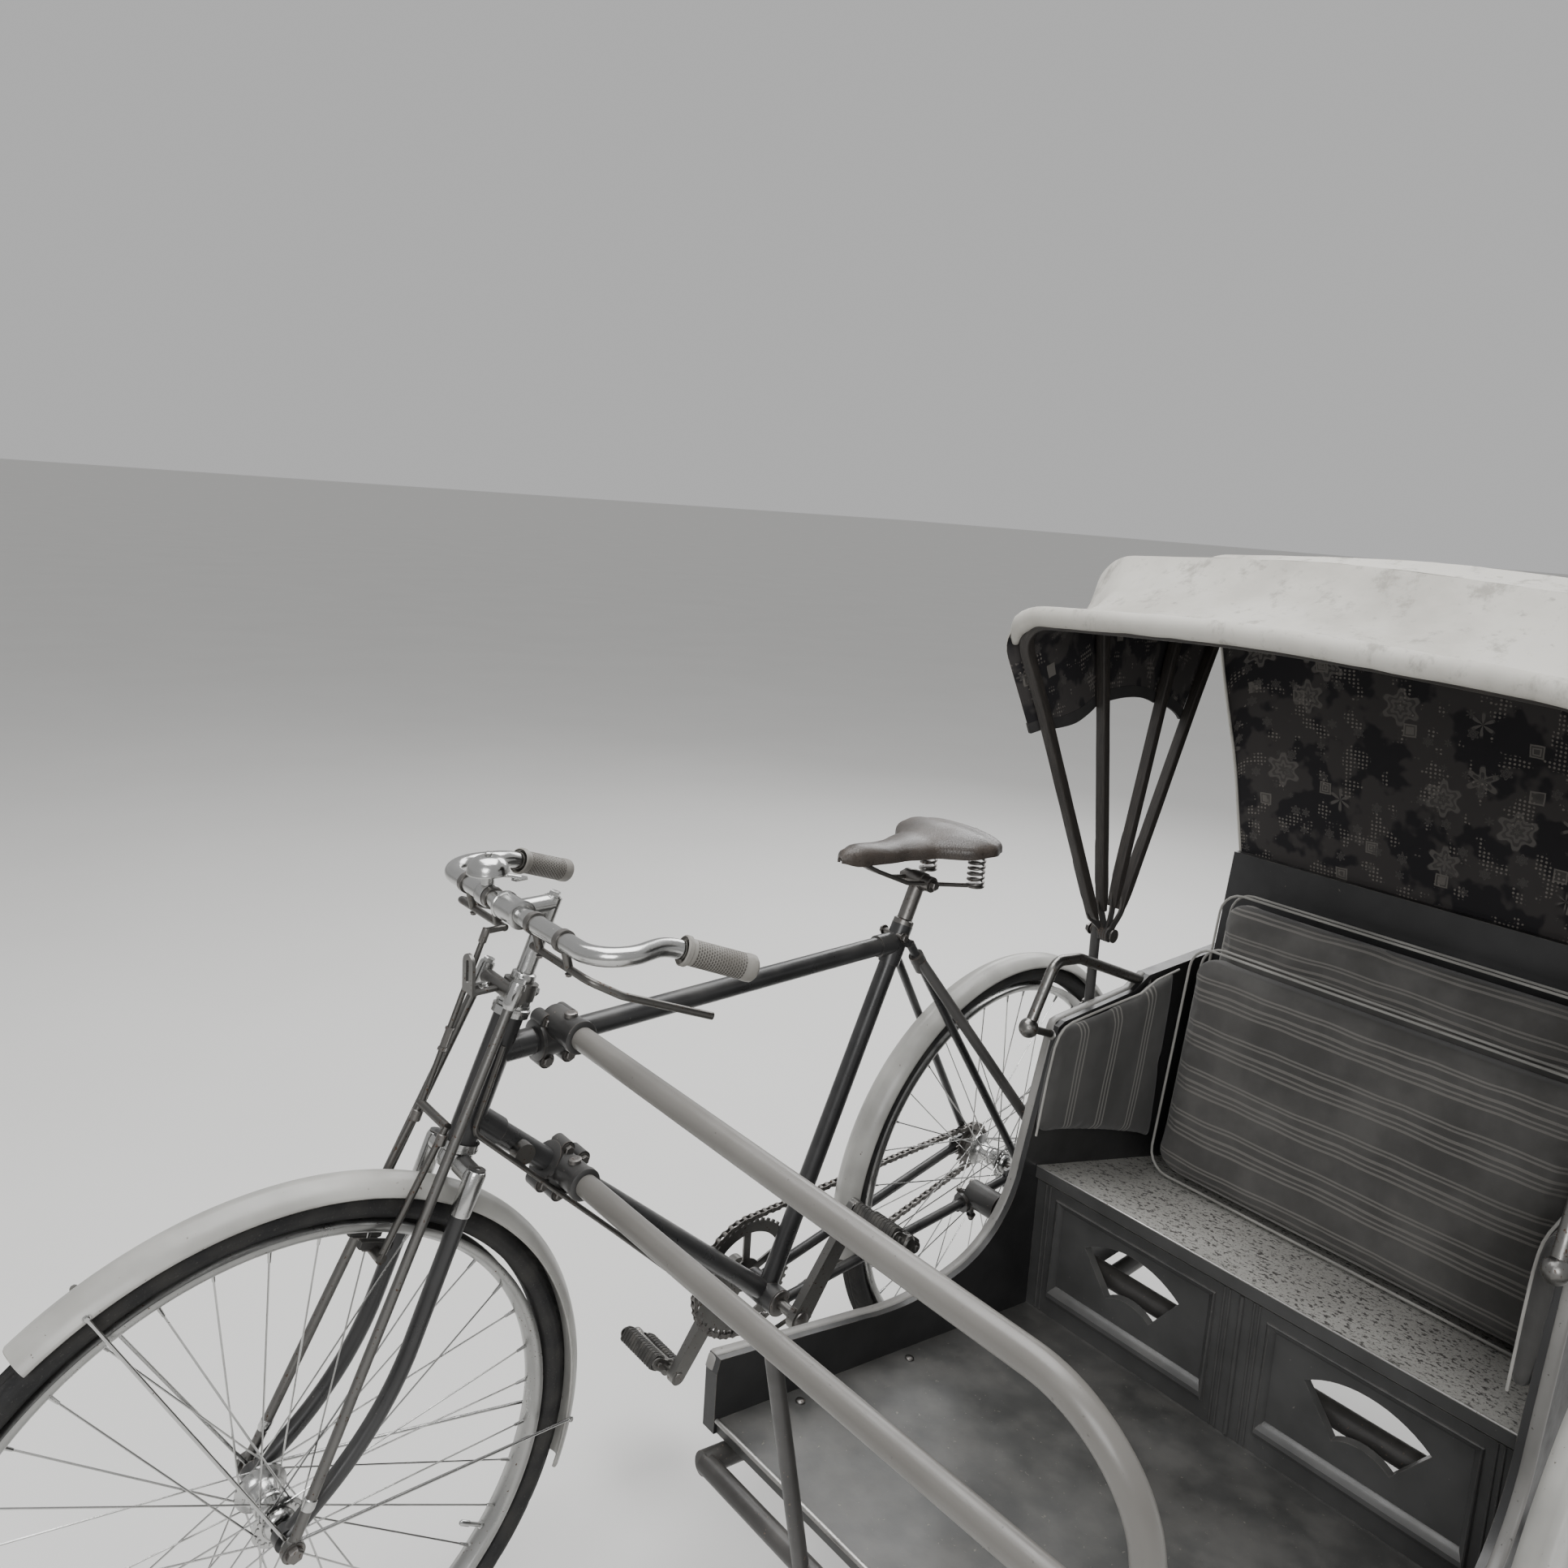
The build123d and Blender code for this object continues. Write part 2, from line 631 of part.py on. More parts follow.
# Lamp bracket on the yoke and the bell on the bar
with BuildPart() as lamp_bracket:
    strap_x, _, strap_z = on_axis(yoke_along, 35)
    for side in (-1, 1):
        box_at((strap_x - 3, side * lamp_half_width - (side + 1) * 4, strap_z - 4),
               (strap_x + lamp_reach, side * lamp_half_width - (side - 1) * 4, strap_z))
    with BuildSketch(Plane(origin=spot(strap_x + lamp_reach, 0, strap_z - 4), x_dir=(0, 1, 0), z_dir=(1, 0, 0))):
        with Locations((0, lamp_height / 2)):
            Rectangle(2 * lamp_half_width, lamp_height)
        with Locations((0, lamp_height)):
            Circle(lamp_half_width)
        with Locations((0, lamp_height - 8)):
            SlotOverall(28, 7, rotation=90, mode=Mode.SUBTRACT)
    extrude(amount=-4)
    rod(on_axis(yoke_along, 26, -40), on_axis(yoke_along, 26, 40), 9.2, Mode.SUBTRACT)
lamp_bracket.part.label = "lamp_bracket"

with BuildPart() as bell:
    rod((bar_x, -bell_side - 9, bar_z), (bar_x, -bell_side + 9, bar_z), bar_radius + 3)
    rod((bar_x, -bell_side, bar_z), (bar_x, -bell_side, bar_z + bell_lift), 8)
    with BuildSketch(radial_plane(spot(bar_x, -bell_side, bar_z + bell_lift), 90)) as dome:
        Polygon((0, 0), (bell_radius, 0), (bell_radius - 1, 8), (bell_radius - 6, 17), (bell_radius - 14, 23),
                (5, bell_radius), (5, bell_radius + 3), (0, bell_radius + 3), align=None)
    revolve(dome.sketch, axis=Axis(spot(bar_x, -bell_side, bar_z), (0, 0, 1)))
    rod((bar_x, -bar_half_straight, bar_z), (bar_x, bar_half_straight, bar_z), bar_radius, Mode.SUBTRACT)
bell.part.label = "bell"

# Rear brake rods and bell crank on the frame
def under_down_tube(behind, below, side):
    """written point beside the down tube, at a distance behind the head tube"""
    place = Vector(*toward(down_start, bracket, behind)) - down_side * below
    return (place.X, side, place.Z)


down_slope = Vector(down_start[0] - bracket_x, 0, down_start[2] - bracket_z).normalized()
down_side = Vector(-down_slope.Z, 0, down_slope.X)
down_length = (Vector(*down_start) - Vector(*bracket)).length
with BuildPart() as rear_brake:
    bent_rod([on_axis(head_high - 40, 8, 26), on_axis(head_low + 28, 6, 28), under_down_tube(286, 28, 24),
              (bracket_x + 31, 33, bracket_z - 42), (bracket_x - 57, 38, bracket_z - 26)], [14, 40, 60], 3.2)
    rod(under_down_tube(82, 4, 12), under_down_tube(82, 4, 27), 13)
    rod(down_start, bracket, main_tube_radius, Mode.SUBTRACT)
rear_brake.part.label = "rear_brake"

# Cast clamps on the bicycle and the two tubes that run across to the sidecar
upper_tube_x = top_start[0] - upper_clamp_behind
lower_tube_x = down_start[0] - lower_clamp_behind
down_clamp_z = down_start[2] - lower_clamp_behind * down_slope.Z / down_slope.X
upper_tube_z = top_tube_z + upper_tube_lift
lower_tube_z = down_clamp_z + lower_tube_lift
leg_foot_z = 353.0
upper_clamp = Vector(upper_tube_x, 0, top_tube_z)
lower_clamp = Vector(lower_tube_x, 0, down_clamp_z)
upper_side_start = (upper_tube_x, 26, upper_tube_z)
leg_top = (upper_tube_x, cabin_left_y - 75, upper_tube_z)
leg_foot = (upper_tube_x - 65, cabin_left_y - 25, leg_foot_z)
lower_side_start = (lower_tube_x, 26, lower_tube_z)
lower_side_end = (lower_tube_x - 8, cabin_left_y - 53, lower_tube_z + 4)


def clamp_rod(middle, half_length, radius):
    """round boss or bolt through a clamp, across the vehicle"""
    rod((middle.X, -half_length, middle.Z), (middle.X, half_length, middle.Z), radius)


with BuildPart() as frame_clamps:
    for middle, along, tube_z in ((upper_clamp, Vector(1, 0, 0), upper_tube_z),
                                  (lower_clamp, down_slope, lower_tube_z)):
        rod(tuple(middle - along * clamp_half_length), tuple(middle + along * clamp_half_length),
            main_tube_radius + clamp_wall)
        rod((middle.X, 0, tube_z), (middle.X, 66, tube_z), side_tube_radius + 5)
        above = Vector(-along.Z, 0, along.X)
        for shift in (-clamp_bolt_spread, clamp_bolt_spread):
            for rise in (-1, 1):
                lobe = middle + along * shift + above * rise * (main_tube_radius + lobe_radius)
                clamp_rod(lobe, lobe_depth / 2, lobe_radius)
                clamp_rod(lobe, lobe_depth / 2 + 6, bolt_radius)
        rod(tuple(middle - along * 60), tuple(middle + along * 60), main_tube_radius, Mode.SUBTRACT)
    rod(upper_side_start, leg_top, side_tube_radius, Mode.SUBTRACT)
    rod(lower_side_start, lower_side_end, side_tube_radius, Mode.SUBTRACT)
frame_clamps.part.label = "frame_clamps"

with BuildPart() as upper_side_tube:
    bent_rod([upper_side_start, leg_top, leg_foot], side_tube_bend, side_tube_radius)
upper_side_tube.part.label = "upper_side_tube"

strut_y = panel_inner_y + 205
with BuildPart() as lower_side_tube:
    rod(lower_side_start, lower_side_end, side_tube_radius)
    rod(leg_top, leg_foot, side_tube_radius, Mode.SUBTRACT)
lower_side_tube.part.label = "lower_side_tube"

# Sidecar chassis: two long rails under the floor, cross tubes and front strut
floor_slope = tan(radians(floor_rise))
floor_under = floor_z - board_thickness
rail_z = floor_under - rail_radius / cos(radians(floor_rise)) - 0.4
rear_cross_x = -300.0
rear_cross_radius = 16.0
cross_radius = 12.0
rail_front_x = floor_front_x + 35
rail_front = (rail_front_x, rail_z + (rail_front_x - seat_front_x) * floor_slope)
right_rail_y = panel_inner_y + 20
left_rail_y = cabin_left_y - 20
cross_right_y = panel_inner_y - panel_thickness
cross_left_y = cabin_left_y + panel_thickness
with BuildPart() as chassis:
    for rail_y in (right_rail_y, left_rail_y):
        bent_rod([(rear_cross_x, rail_y, rail_z), (seat_front_x, rail_y, rail_z), (rail_front[0], rail_y, rail_front[1])],
                 80, rail_radius)
    rod((rear_cross_x, cross_right_y, rail_z), (rear_cross_x, cross_left_y, rail_z), rear_cross_radius)
    rod((side_axle_x, cross_right_y, rail_z), (side_axle_x, cross_left_y, rail_z), cross_radius)
    rod((rail_front[0] - 4, right_rail_y, rail_front[1]), (rail_front[0] - 4, left_rail_y, rail_front[1]), cross_radius)
    rod((rail_front[0] + 2, strut_y, rail_front[1]), (lower_tube_x, strut_y, lower_tube_z), 9)
    rod(lower_side_start, lower_side_end, side_tube_radius, Mode.SUBTRACT)
    rod(leg_top, leg_foot, side_tube_radius, Mode.SUBTRACT)
chassis.part.label = "chassis"

# Axle tube from the clamp on the left chain stay to the side wheel
stay_clamp_y = stay_spread - (stay_spread - 31) * (side_axle_x - 16) / (bracket_x - 30)
axle_tube_end = cross_left_y + 8
with BuildPart() as axle_tube:
    rod((side_axle_x, 84, wheel_radius), (side_axle_x, axle_tube_end, wheel_radius), axle_tube_radius)
    for brace_y in (right_rail_y + 30, left_rail_y - 30):
        rod((side_axle_x, brace_y, wheel_radius), (side_axle_x, brace_y, rail_z), 9)
    rod((side_axle_x, cross_right_y, rail_z), (side_axle_x, cross_left_y, rail_z), cross_radius, Mode.SUBTRACT)
    rod((side_axle_x, axle_tube_end - 30, wheel_radius), (side_axle_x, axle_tube_end + 1, wheel_radius),
        axle_radius + 0.4, Mode.SUBTRACT)
axle_tube.part.label = "axle_tube"

with BuildPart() as stay_clamp:
    stay_start = Vector(bracket_x - 14, 31, bracket_z + 1)
    stay_end = Vector(16, stay_spread, wheel_radius)
    stay_run = (stay_end - stay_start).normalized()
    stay_middle = stay_end - stay_run * (side_axle_x - 16)
    rod(tuple(stay_middle - stay_run * 26), tuple(stay_middle + stay_run * 26), chain_stay_radius + 8)
    for shift in (-band_spread, band_spread):
        band = stay_middle + stay_run * shift
        rod(tuple(band - stay_run * 3), tuple(band + stay_run * 3), chain_stay_radius + 11)
        for side in (-1, 1):
            rod((band.X, band.Y + side * (chain_stay_radius + 7), band.Z - 26),
                (band.X, band.Y + side * (chain_stay_radius + 7), band.Z), bolt_radius)
    rod((side_axle_x, stay_clamp_y, wheel_radius), (side_axle_x, 118, wheel_radius), axle_tube_radius + 6)
    rod((side_axle_x, 84, wheel_radius), (side_axle_x, 119, wheel_radius), axle_tube_radius, Mode.SUBTRACT)
    rod(tuple(stay_start), tuple(stay_end), chain_stay_radius, Mode.SUBTRACT)
stay_clamp.part.label = "stay_clamp"

# Brace from the seat cluster to the sidecar's side
stay_top = Vector(cluster_x - 4, 25, cluster_z - 4)
stay_foot = Vector(8, stay_spread - 1, wheel_radius + 26)
stay_down = (stay_foot - stay_top).normalized()
with BuildPart() as seat_brace:
    rod(tuple(stay_top + stay_down * 22), tuple(stay_top + stay_down * 52), seat_stay_radius + 5)
    rod(tuple(stay_top + stay_down * 37 + Vector(0, 6, 0)), (117, 194, 508), 8.5)
    box_at((98, 190, 488), (136, cross_right_y, 528))
    rod(tuple(stay_top), tuple(stay_foot), seat_stay_radius, Mode.SUBTRACT)
seat_brace.part.label = "seat_brace"

# Outer rail round the side wheel, carrying the outer end of its axle
outer_corner_x = floor_front_x - 175
outer_joint_x = floor_front_x - 75
outer_front = (outer_corner_x, outer_rail_y, rail_z + (outer_corner_x - seat_front_x) * floor_slope)
outer_rise = (wheel_radius - outer_front[2]) / (outer_front[0] - side_axle_x)
outer_rear = (rear_cross_x, outer_rail_y, wheel_radius + (side_axle_x - rear_cross_x) * outer_rise)
with BuildPart() as outer_rail:
    bent_rod([(outer_joint_x, left_rail_y, rail_z + (outer_joint_x - seat_front_x) * floor_slope), outer_front, outer_rear,
              (rear_cross_x, cross_left_y - 25, rail_z)], [90, 90], rail_radius)
    rod((side_axle_x, outer_rail_y + 20, wheel_radius), (side_axle_x, outer_rail_y - 20, wheel_radius),
        axle_radius + 0.4, Mode.SUBTRACT)
    rod((seat_front_x, left_rail_y, rail_z), (rail_front[0], left_rail_y, rail_front[1]), rail_radius + cope_gap,
        Mode.SUBTRACT)
    rod((rear_cross_x, cross_right_y, rail_z), (rear_cross_x, cross_left_y + 0.1, rail_z),
        rear_cross_radius + cope_gap, Mode.SUBTRACT)
    rod((rear_cross_x - 0.1, left_rail_y, rail_z), (0, left_rail_y, rail_z), rail_radius + cope_gap, Mode.SUBTRACT)
outer_rail.part.label = "outer_rail"


def side_panel(y):
    """sleigh-shaped board of the body's side"""
    with BuildSketch(side_plane(y + panel_thickness)) as board:
        with BuildLine():
            Line((150, 722), (203, 520))
            ThreePointArc((203, 520), (248, 432), (330, 391))
            ThreePointArc((330, 391), (425, 386), (520, 402))
            Line((520, 402), (floor_front_x, 458))
            Polyline((floor_front_x, 458), (floor_front_x + 5, 440),
                     (floor_front_x + 5, floor_under + (floor_front_x + 5 - seat_front_x) * floor_slope),
                     (seat_front_x, floor_under), (back_x - 26, floor_under), (back_x - 109, arm_rear_z),
                     (-88, arm_rear_z), (-48, arm_front_z + 6), (136, arm_front_z), (150, 722))
        make_face()
        with Locations((side_axle_x, wheel_radius)):
            Circle(axle_tube_radius + 0.3, mode=Mode.SUBTRACT)
    extrude(board.sketch, amount=panel_thickness)


with BuildPart() as right_panel:
    side_panel(cross_right_y)
right_panel.part.label = "right_panel"

with BuildPart() as left_panel:
    side_panel(cabin_left_y)
left_panel.part.label = "left_panel"


def across(profile):
    """board whose side profile runs the full width of the cabin"""
    with BuildSketch(side_plane(cabin_left_y)) as board:
        with BuildLine():
            Polyline(*profile, close=True)
        make_face()
    extrude(board.sketch, amount=cabin_width)


front_rise = (floor_front_x - seat_front_x) * floor_slope
with BuildPart() as floor_board:
    across([(seat_front_x - 24, floor_z), (seat_front_x + floor_step, floor_z), (floor_front_x, floor_z + front_rise),
            (floor_front_x, floor_under + front_rise), (seat_front_x, floor_under), (seat_front_x - 24, floor_under)])
floor_board.part.label = "floor_board"

# Seat box front with two sunk fields, each with a fan-shaped opening
seat_slope = tan(radians(seat_fall))
board_front_x = seat_front_x + 6
seat_front_top = seat_top_z - board_thickness - (board_front_x - seat_front_x + board_thickness) * seat_slope
fan_outer = 135.0
fan_inner = 62.0
fan_half_angle = 37.0
fan_z = 302.0
field_low_z = 298.0
field_high_z = 462.0
field_margin = 38.0
field_depth = 5.0
with BuildPart() as seat_front:
    face = Plane(origin=spot(seat_front_x, cabin_middle_y, 0), x_dir=(0, 1, 0), z_dir=(1, 0, 0))
    with BuildSketch(face):
        with Locations((0, (floor_z + seat_front_top) / 2)):
            Rectangle(cabin_width, seat_front_top - floor_z)
    extrude(amount=-board_thickness)
    with BuildSketch(face):
        for side in (-1, 1):
            with Locations((side * cabin_width / 4, (field_low_z + field_high_z) / 2)):
                Rectangle(cabin_width / 2 - 2 * field_margin, field_high_z - field_low_z)
    extrude(amount=-field_depth, mode=Mode.SUBTRACT)
    with BuildSketch(face):
        for side in (-1, 1):
            with Locations((side * cabin_width / 4, fan_z)):
                with BuildLine():
                    h = radians(fan_half_angle)
                    a = (-fan_outer * sin(h), fan_outer * cos(h))
                    b = (fan_outer * sin(h), fan_outer * cos(h))
                    c = (fan_inner * sin(h), fan_inner * cos(h))
                    d = (-fan_inner * sin(h), fan_inner * cos(h))
                    ThreePointArc(a, (0, fan_outer), b)
                    Line(b, c)
                    ThreePointArc(c, (0, fan_inner), d)
                    Line(d, a)
                make_face()
    extrude(amount=-board_thickness, mode=Mode.SUBTRACT)
seat_front.part.label = "seat_front"

board_back_x = back_x + back_thickness + 0.2
board_drop = (board_front_x - board_back_x) * seat_slope
with BuildPart() as seat_board:
    across([(board_front_x, seat_top_z), (board_back_x, seat_top_z - board_drop),
            (board_back_x, seat_top_z - board_drop - board_thickness), (board_front_x, seat_top_z - board_thickness)])
seat_board.part.label = "seat_board"

# Reclined back board behind the seat
back_foot_z = seat_top_z - (board_front_x - back_x) * seat_slope
recline = tan(radians(back_recline))
back_shift = (back_top_z - back_foot_z) * recline
with BuildPart() as back_board:
    across([(back_x, back_foot_z - board_thickness), (back_x + back_thickness, back_foot_z - board_thickness),
            (back_x + back_thickness, back_foot_z), (back_x + back_thickness - back_shift, back_top_z),
            (back_x - back_shift, back_top_z), (back_x, back_foot_z)])
back_board.part.label = "back_board"

# Cushions: the back cushion, and the seat cushion stood up against it
cushion_margin = 40.0
seat_pad_thickness = 65.0
seat_pad_length = 385.0
back_pad_top_z = 905.0
seat_pad_x = -62.0
pad_gap = 0.3


def on_board(x):
    """height of the seat board's top at a place along the vehicle"""
    return seat_top_z - (board_front_x - x) * seat_slope + pad_gap


def standing_pad(front_x, rear_x, front_length, rear_length):
    """cushion that stands on the seat board and leans back"""
    with BuildSketch(side_plane(cabin_left_y - cushion_margin)) as pad:
        with BuildLine():
            Polyline((rear_x, on_board(rear_x)), (front_x, on_board(front_x)),
                     (front_x - front_length * recline, on_board(front_x) + front_length),
                     (rear_x - rear_length * recline, on_board(rear_x) + rear_length), close=True)
        make_face()
    extrude(pad.sketch, amount=cabin_width - 2 * cushion_margin)


back_pad_front = seat_pad_x - seat_pad_thickness - 2 * pad_gap
back_pad_rear = back_x + back_thickness - (on_board(back_x + back_thickness) - back_foot_z) * recline + 2 * pad_gap
with BuildPart() as seat_cushion:
    standing_pad(seat_pad_x, seat_pad_x - seat_pad_thickness, seat_pad_length, seat_pad_length)
seat_cushion.part.label = "seat_cushion"

with BuildPart() as back_cushion:
    standing_pad(back_pad_front, back_pad_rear, back_pad_top_z - on_board(back_pad_front),
                 back_pad_top_z - on_board(back_pad_rear))
back_cushion.part.label = "back_cushion"

# Padded linings of the two arms
arm_pad_thickness = 20.0
with BuildPart() as arm_pads:
    for pad_y in (panel_inner_y + arm_pad_thickness + pad_gap, cabin_left_y - pad_gap):
        with BuildSketch(side_plane(pad_y)):
            with BuildLine():
                Polyline((206, 572), (190, 655), (178, 705), (162, 729), (140, 735), (-41, 739), (-85, 752),
                         (-150, 755), (-120, 455), close=True)
            make_face()
        extrude(amount=arm_pad_thickness)
arm_pads.part.label = "arm_pads"

# Arm rails with ball ends, and the posts that carry the hood's pivot pins
post_y = 191.0
with BuildPart() as arm_rails:
    for mid_y in (panel_inner_y - panel_thickness / 2, cabin_left_y + panel_thickness / 2):
        bent_rod([(211, mid_y, arm_front_z + 5), (160, mid_y, arm_front_z + arm_rail_rise),
                  (100, mid_y, arm_front_z + arm_rail_rise - 8), (-88, mid_y, arm_rear_z - 14)],
                 [28, 60], arm_rail_radius)
        with Locations(spot(211, mid_y, arm_front_z + 5)):
            Sphere(arm_ball_radius)
        rod((205, mid_y, arm_front_z + 2), (155, mid_y, arm_front_z - 19), 6)
    add(right_panel.part, mode=Mode.SUBTRACT)
    add(left_panel.part, mode=Mode.SUBTRACT)
arm_rails.part.label = "arm_rails"

# Posts and pins that carry the hood on each side
with BuildPart() as hood_posts:
    for side, middle_y in ((-1, post_y), (1, 2 * cabin_middle_y - post_y)):
        rod((hood_x - 3, middle_y, post_foot_z), (hood_x, middle_y, hood_z + post_radius), post_radius)
        rod((hood_x, middle_y - side * 40 + side * 8, hood_z), (hood_x, middle_y + side * 8, hood_z), hood_pin_radius)
        inner = cross_right_y if side < 0 else cross_left_y
        for foot_z in (post_foot_z + 8, arm_front_z - post_bracket_height):
            box_at((hood_x - 20, min(inner, middle_y - side * 4), foot_z),
                   (hood_x + 14, max(inner, middle_y - side * 4), foot_z + post_bracket_height))
hood_posts.part.label = "hood_posts"

# Hood bows: name, angle back from upright, length to the top, iron's place on the pin,
# depth that the cloth hangs below the bow's top
bow_width = 16.0
bow_thick = 16.0
canvas_lift = 2.6
canvas_gap_angle = 0.02
bow_leg_y = 209.5
leg_start = 105.0
bow_crown = 18.0
bow_rows = (
    ("bow_1", -29.7, 578.0, 0, 183.0),
    ("bow_2", -10.5, 590.0, 1, 212.0),
    ("bow_3", 13.2, 605.0, 2, 230.0),
    ("bow_4", 26.3, 615.0, 3, 243.0),
)
half_span = cabin_middle_y - bow_leg_y


def bow_plane(angle):
    """plane of a bow: x across the cabin, y away from the pin"""
    a = radians(angle)
    outward = Vector(-sin(a), 0, cos(a))
    across_dir = Vector(0, 1, 0)
    return Plane(origin=spot(hood_x, cabin_middle_y, hood_z), x_dir=across_dir, z_dir=across_dir.cross(outward))


def arch_line(half, low, top, corner):
    """outline of an arch with rounded corners and a slightly raised middle"""
    FilletPolyline((-half, low), (-half, top), (0, top + bow_crown), (half, top), (half, low),
                   radius=[corner, 2500, corner])
    Line((half, low), (-half, low))


def bow_frame(angle, length, layer):
    """wooden arch with iron ends that turn on the hood's pins"""
    plane = bow_plane(angle)
    with BuildSketch(plane) as arch:
        with BuildLine():
            arch_line(half_span + bow_width / 2, leg_start, length + bow_width / 2, 70)
        make_face()
        with BuildLine():
            arch_line(half_span - bow_width / 2, leg_start, length - bow_width / 2, 54)
        make_face(mode=Mode.SUBTRACT)
    extrude(arch.sketch, amount=bow_thick / 2, both=True)
    for side in (-1, 1):
        edge = side * (half_span + bow_width / 2 + 0.5 - layer * 4.6)
        with BuildSketch(Plane(origin=plane.from_local_coords((edge, 0, 0)), x_dir=plane.y_dir,
                               z_dir=-side * plane.x_dir)) as iron:
            Circle(12)
            with Locations((60 + 25, 0)):
                Rectangle(170, 15)
            Circle(hood_pin_radius + 0.4, mode=Mode.SUBTRACT)
        extrude(iron.sketch, amount=4)


with BuildPart() as bow_1:
    bow_frame(*bow_rows[0][1:4])
bow_1.part.label = "bow_1"
with BuildPart() as bow_2:
    bow_frame(*bow_rows[1][1:4])
bow_2.part.label = "bow_2"
with BuildPart() as bow_3:
    bow_frame(*bow_rows[2][1:4])
bow_3.part.label = "bow_3"
with BuildPart() as bow_4:
    bow_frame(*bow_rows[3][1:4])
bow_4.part.label = "bow_4"


def canvas_section(angle, length, drop):
    """band of canvas over one bow, hanging a little past its corners"""
    canvas_out = bow_width / 2 + canvas_lift
    with BuildSketch(bow_plane(angle)) as band:
        with BuildLine():
            arch_line(half_span + canvas_out + canvas_thickness, length - drop, length + canvas_out + canvas_thickness,
                      70 + canvas_thickness)
        make_face()
        with BuildLine():
            arch_line(half_span + canvas_out, length - drop, length + canvas_out, 70)
        make_face(mode=Mode.SUBTRACT)
    return band.sketch


def canvas_panel(front, rear):
    """canvas stretched between two bows"""
    loft([canvas_section(front[1] + canvas_gap_angle, front[2], front[4]).face(),
          canvas_section(rear[1] - canvas_gap_angle, rear[2], rear[4]).face()], ruled=True)


with BuildPart() as canopy_front:
    canvas_panel(bow_rows[0], bow_rows[1])
canopy_front.part.label = "canopy_front"
with BuildPart() as canopy_middle:
    canvas_panel(bow_rows[1], bow_rows[2])
canopy_middle.part.label = "canopy_middle"
with BuildPart() as canopy_rear:
    canvas_panel(bow_rows[2], bow_rows[3])
canopy_rear.part.label = "canopy_rear"

back_top = (hood_x - (bow_rows[3][2] + 6) * sin(radians(bow_rows[3][1] + 3)),
            hood_z + (bow_rows[3][2] + 6) * cos(radians(bow_rows[3][1] + 3)))
with BuildPart() as canopy_back:
    with BuildSketch(side_plane(cabin_left_y)):
        with BuildLine():
            Polyline(back_top, (back_top[0] - 3, back_top[1]), (back_x - back_shift - 3.4, back_top_z),
                     (back_x - back_shift - 0.4, back_top_z), close=True)
        make_face()
    extrude(amount=cabin_width)
canopy_back.part.label = "canopy_back"

pieces = [
    head_tube, top_tube, down_tube, seat_tube, chain_stays, seat_stays, saddle_frame, saddle_top,
    front_wheel, front_tyre, rear_wheel, rear_tyre, side_wheel, side_tyre, rear_guard, front_guard,
    side_guard, chain, crankset, pedal_left, pedal_right, fork, headset, truss_fork, handlebar, grips,
    front_brake, lamp_bracket, bell, rear_brake, frame_clamps, upper_side_tube, lower_side_tube, chassis,
    axle_tube, stay_clamp, seat_brace, outer_rail, right_panel, left_panel, floor_board, seat_front,
    seat_board, back_board, seat_cushion, back_cushion, arm_pads, arm_rails, hood_posts,
    bow_1, bow_2, bow_3, bow_4, canopy_front, canopy_middle, canopy_rear, canopy_back,
]
for piece in pieces:
    export_step(piece.part, f"parts/{piece.part.label}.step")
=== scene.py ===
import bmesh
import bpy
import json
from math import acos, atan2, cos, hypot, pi, radians, sin
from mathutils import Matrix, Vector, noise


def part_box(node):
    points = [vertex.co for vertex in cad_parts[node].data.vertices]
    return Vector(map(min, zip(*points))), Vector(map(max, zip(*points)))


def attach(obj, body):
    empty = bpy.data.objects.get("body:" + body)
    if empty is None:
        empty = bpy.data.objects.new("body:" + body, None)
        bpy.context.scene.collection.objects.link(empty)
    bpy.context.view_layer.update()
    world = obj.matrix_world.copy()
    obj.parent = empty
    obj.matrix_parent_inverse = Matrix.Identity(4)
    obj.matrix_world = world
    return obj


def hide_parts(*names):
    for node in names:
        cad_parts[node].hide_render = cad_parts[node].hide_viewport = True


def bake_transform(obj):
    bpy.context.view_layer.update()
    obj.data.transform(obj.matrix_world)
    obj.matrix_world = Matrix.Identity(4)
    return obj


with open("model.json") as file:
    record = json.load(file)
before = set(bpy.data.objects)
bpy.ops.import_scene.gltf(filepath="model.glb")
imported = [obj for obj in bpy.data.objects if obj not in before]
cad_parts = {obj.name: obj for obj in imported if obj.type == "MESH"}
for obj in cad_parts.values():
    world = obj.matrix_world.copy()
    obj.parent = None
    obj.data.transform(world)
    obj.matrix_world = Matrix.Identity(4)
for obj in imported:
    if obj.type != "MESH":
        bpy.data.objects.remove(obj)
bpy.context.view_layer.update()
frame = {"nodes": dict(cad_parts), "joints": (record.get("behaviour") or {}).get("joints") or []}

# Studio: a pale floor, a large soft light overhead, two weaker ones from the
# sides, and a camera that stands in front and to the left of the vehicle.
# Places are millimetres forward, left and up of the ground under the rear wheel.
mm = 0.001
rear_tyre_low, rear_tyre_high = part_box("rear_tyre")
ground = (Vector(rear_tyre_low) + Vector(rear_tyre_high)) / 2
ground.z = 0.0


def spot(x, y, z):
    """place in the scene of a point given in millimetres"""
    return ground + Vector((x, y, z)) * mm


def shader_node(finish, kind, inputs, output=0, **settings):
    """node in a finish; an input is a number, a colour or another node's output"""
    tree = finish.node_tree
    made = tree.nodes.new("ShaderNode" + kind)
    for key, value in settings.items():
        setattr(made, key, value)
    for key, value in inputs.items():
        if isinstance(value, bpy.types.NodeSocket):
            tree.links.new(value, made.inputs[key])
        else:
            made.inputs[key].default_value = value
    return made.outputs[output]


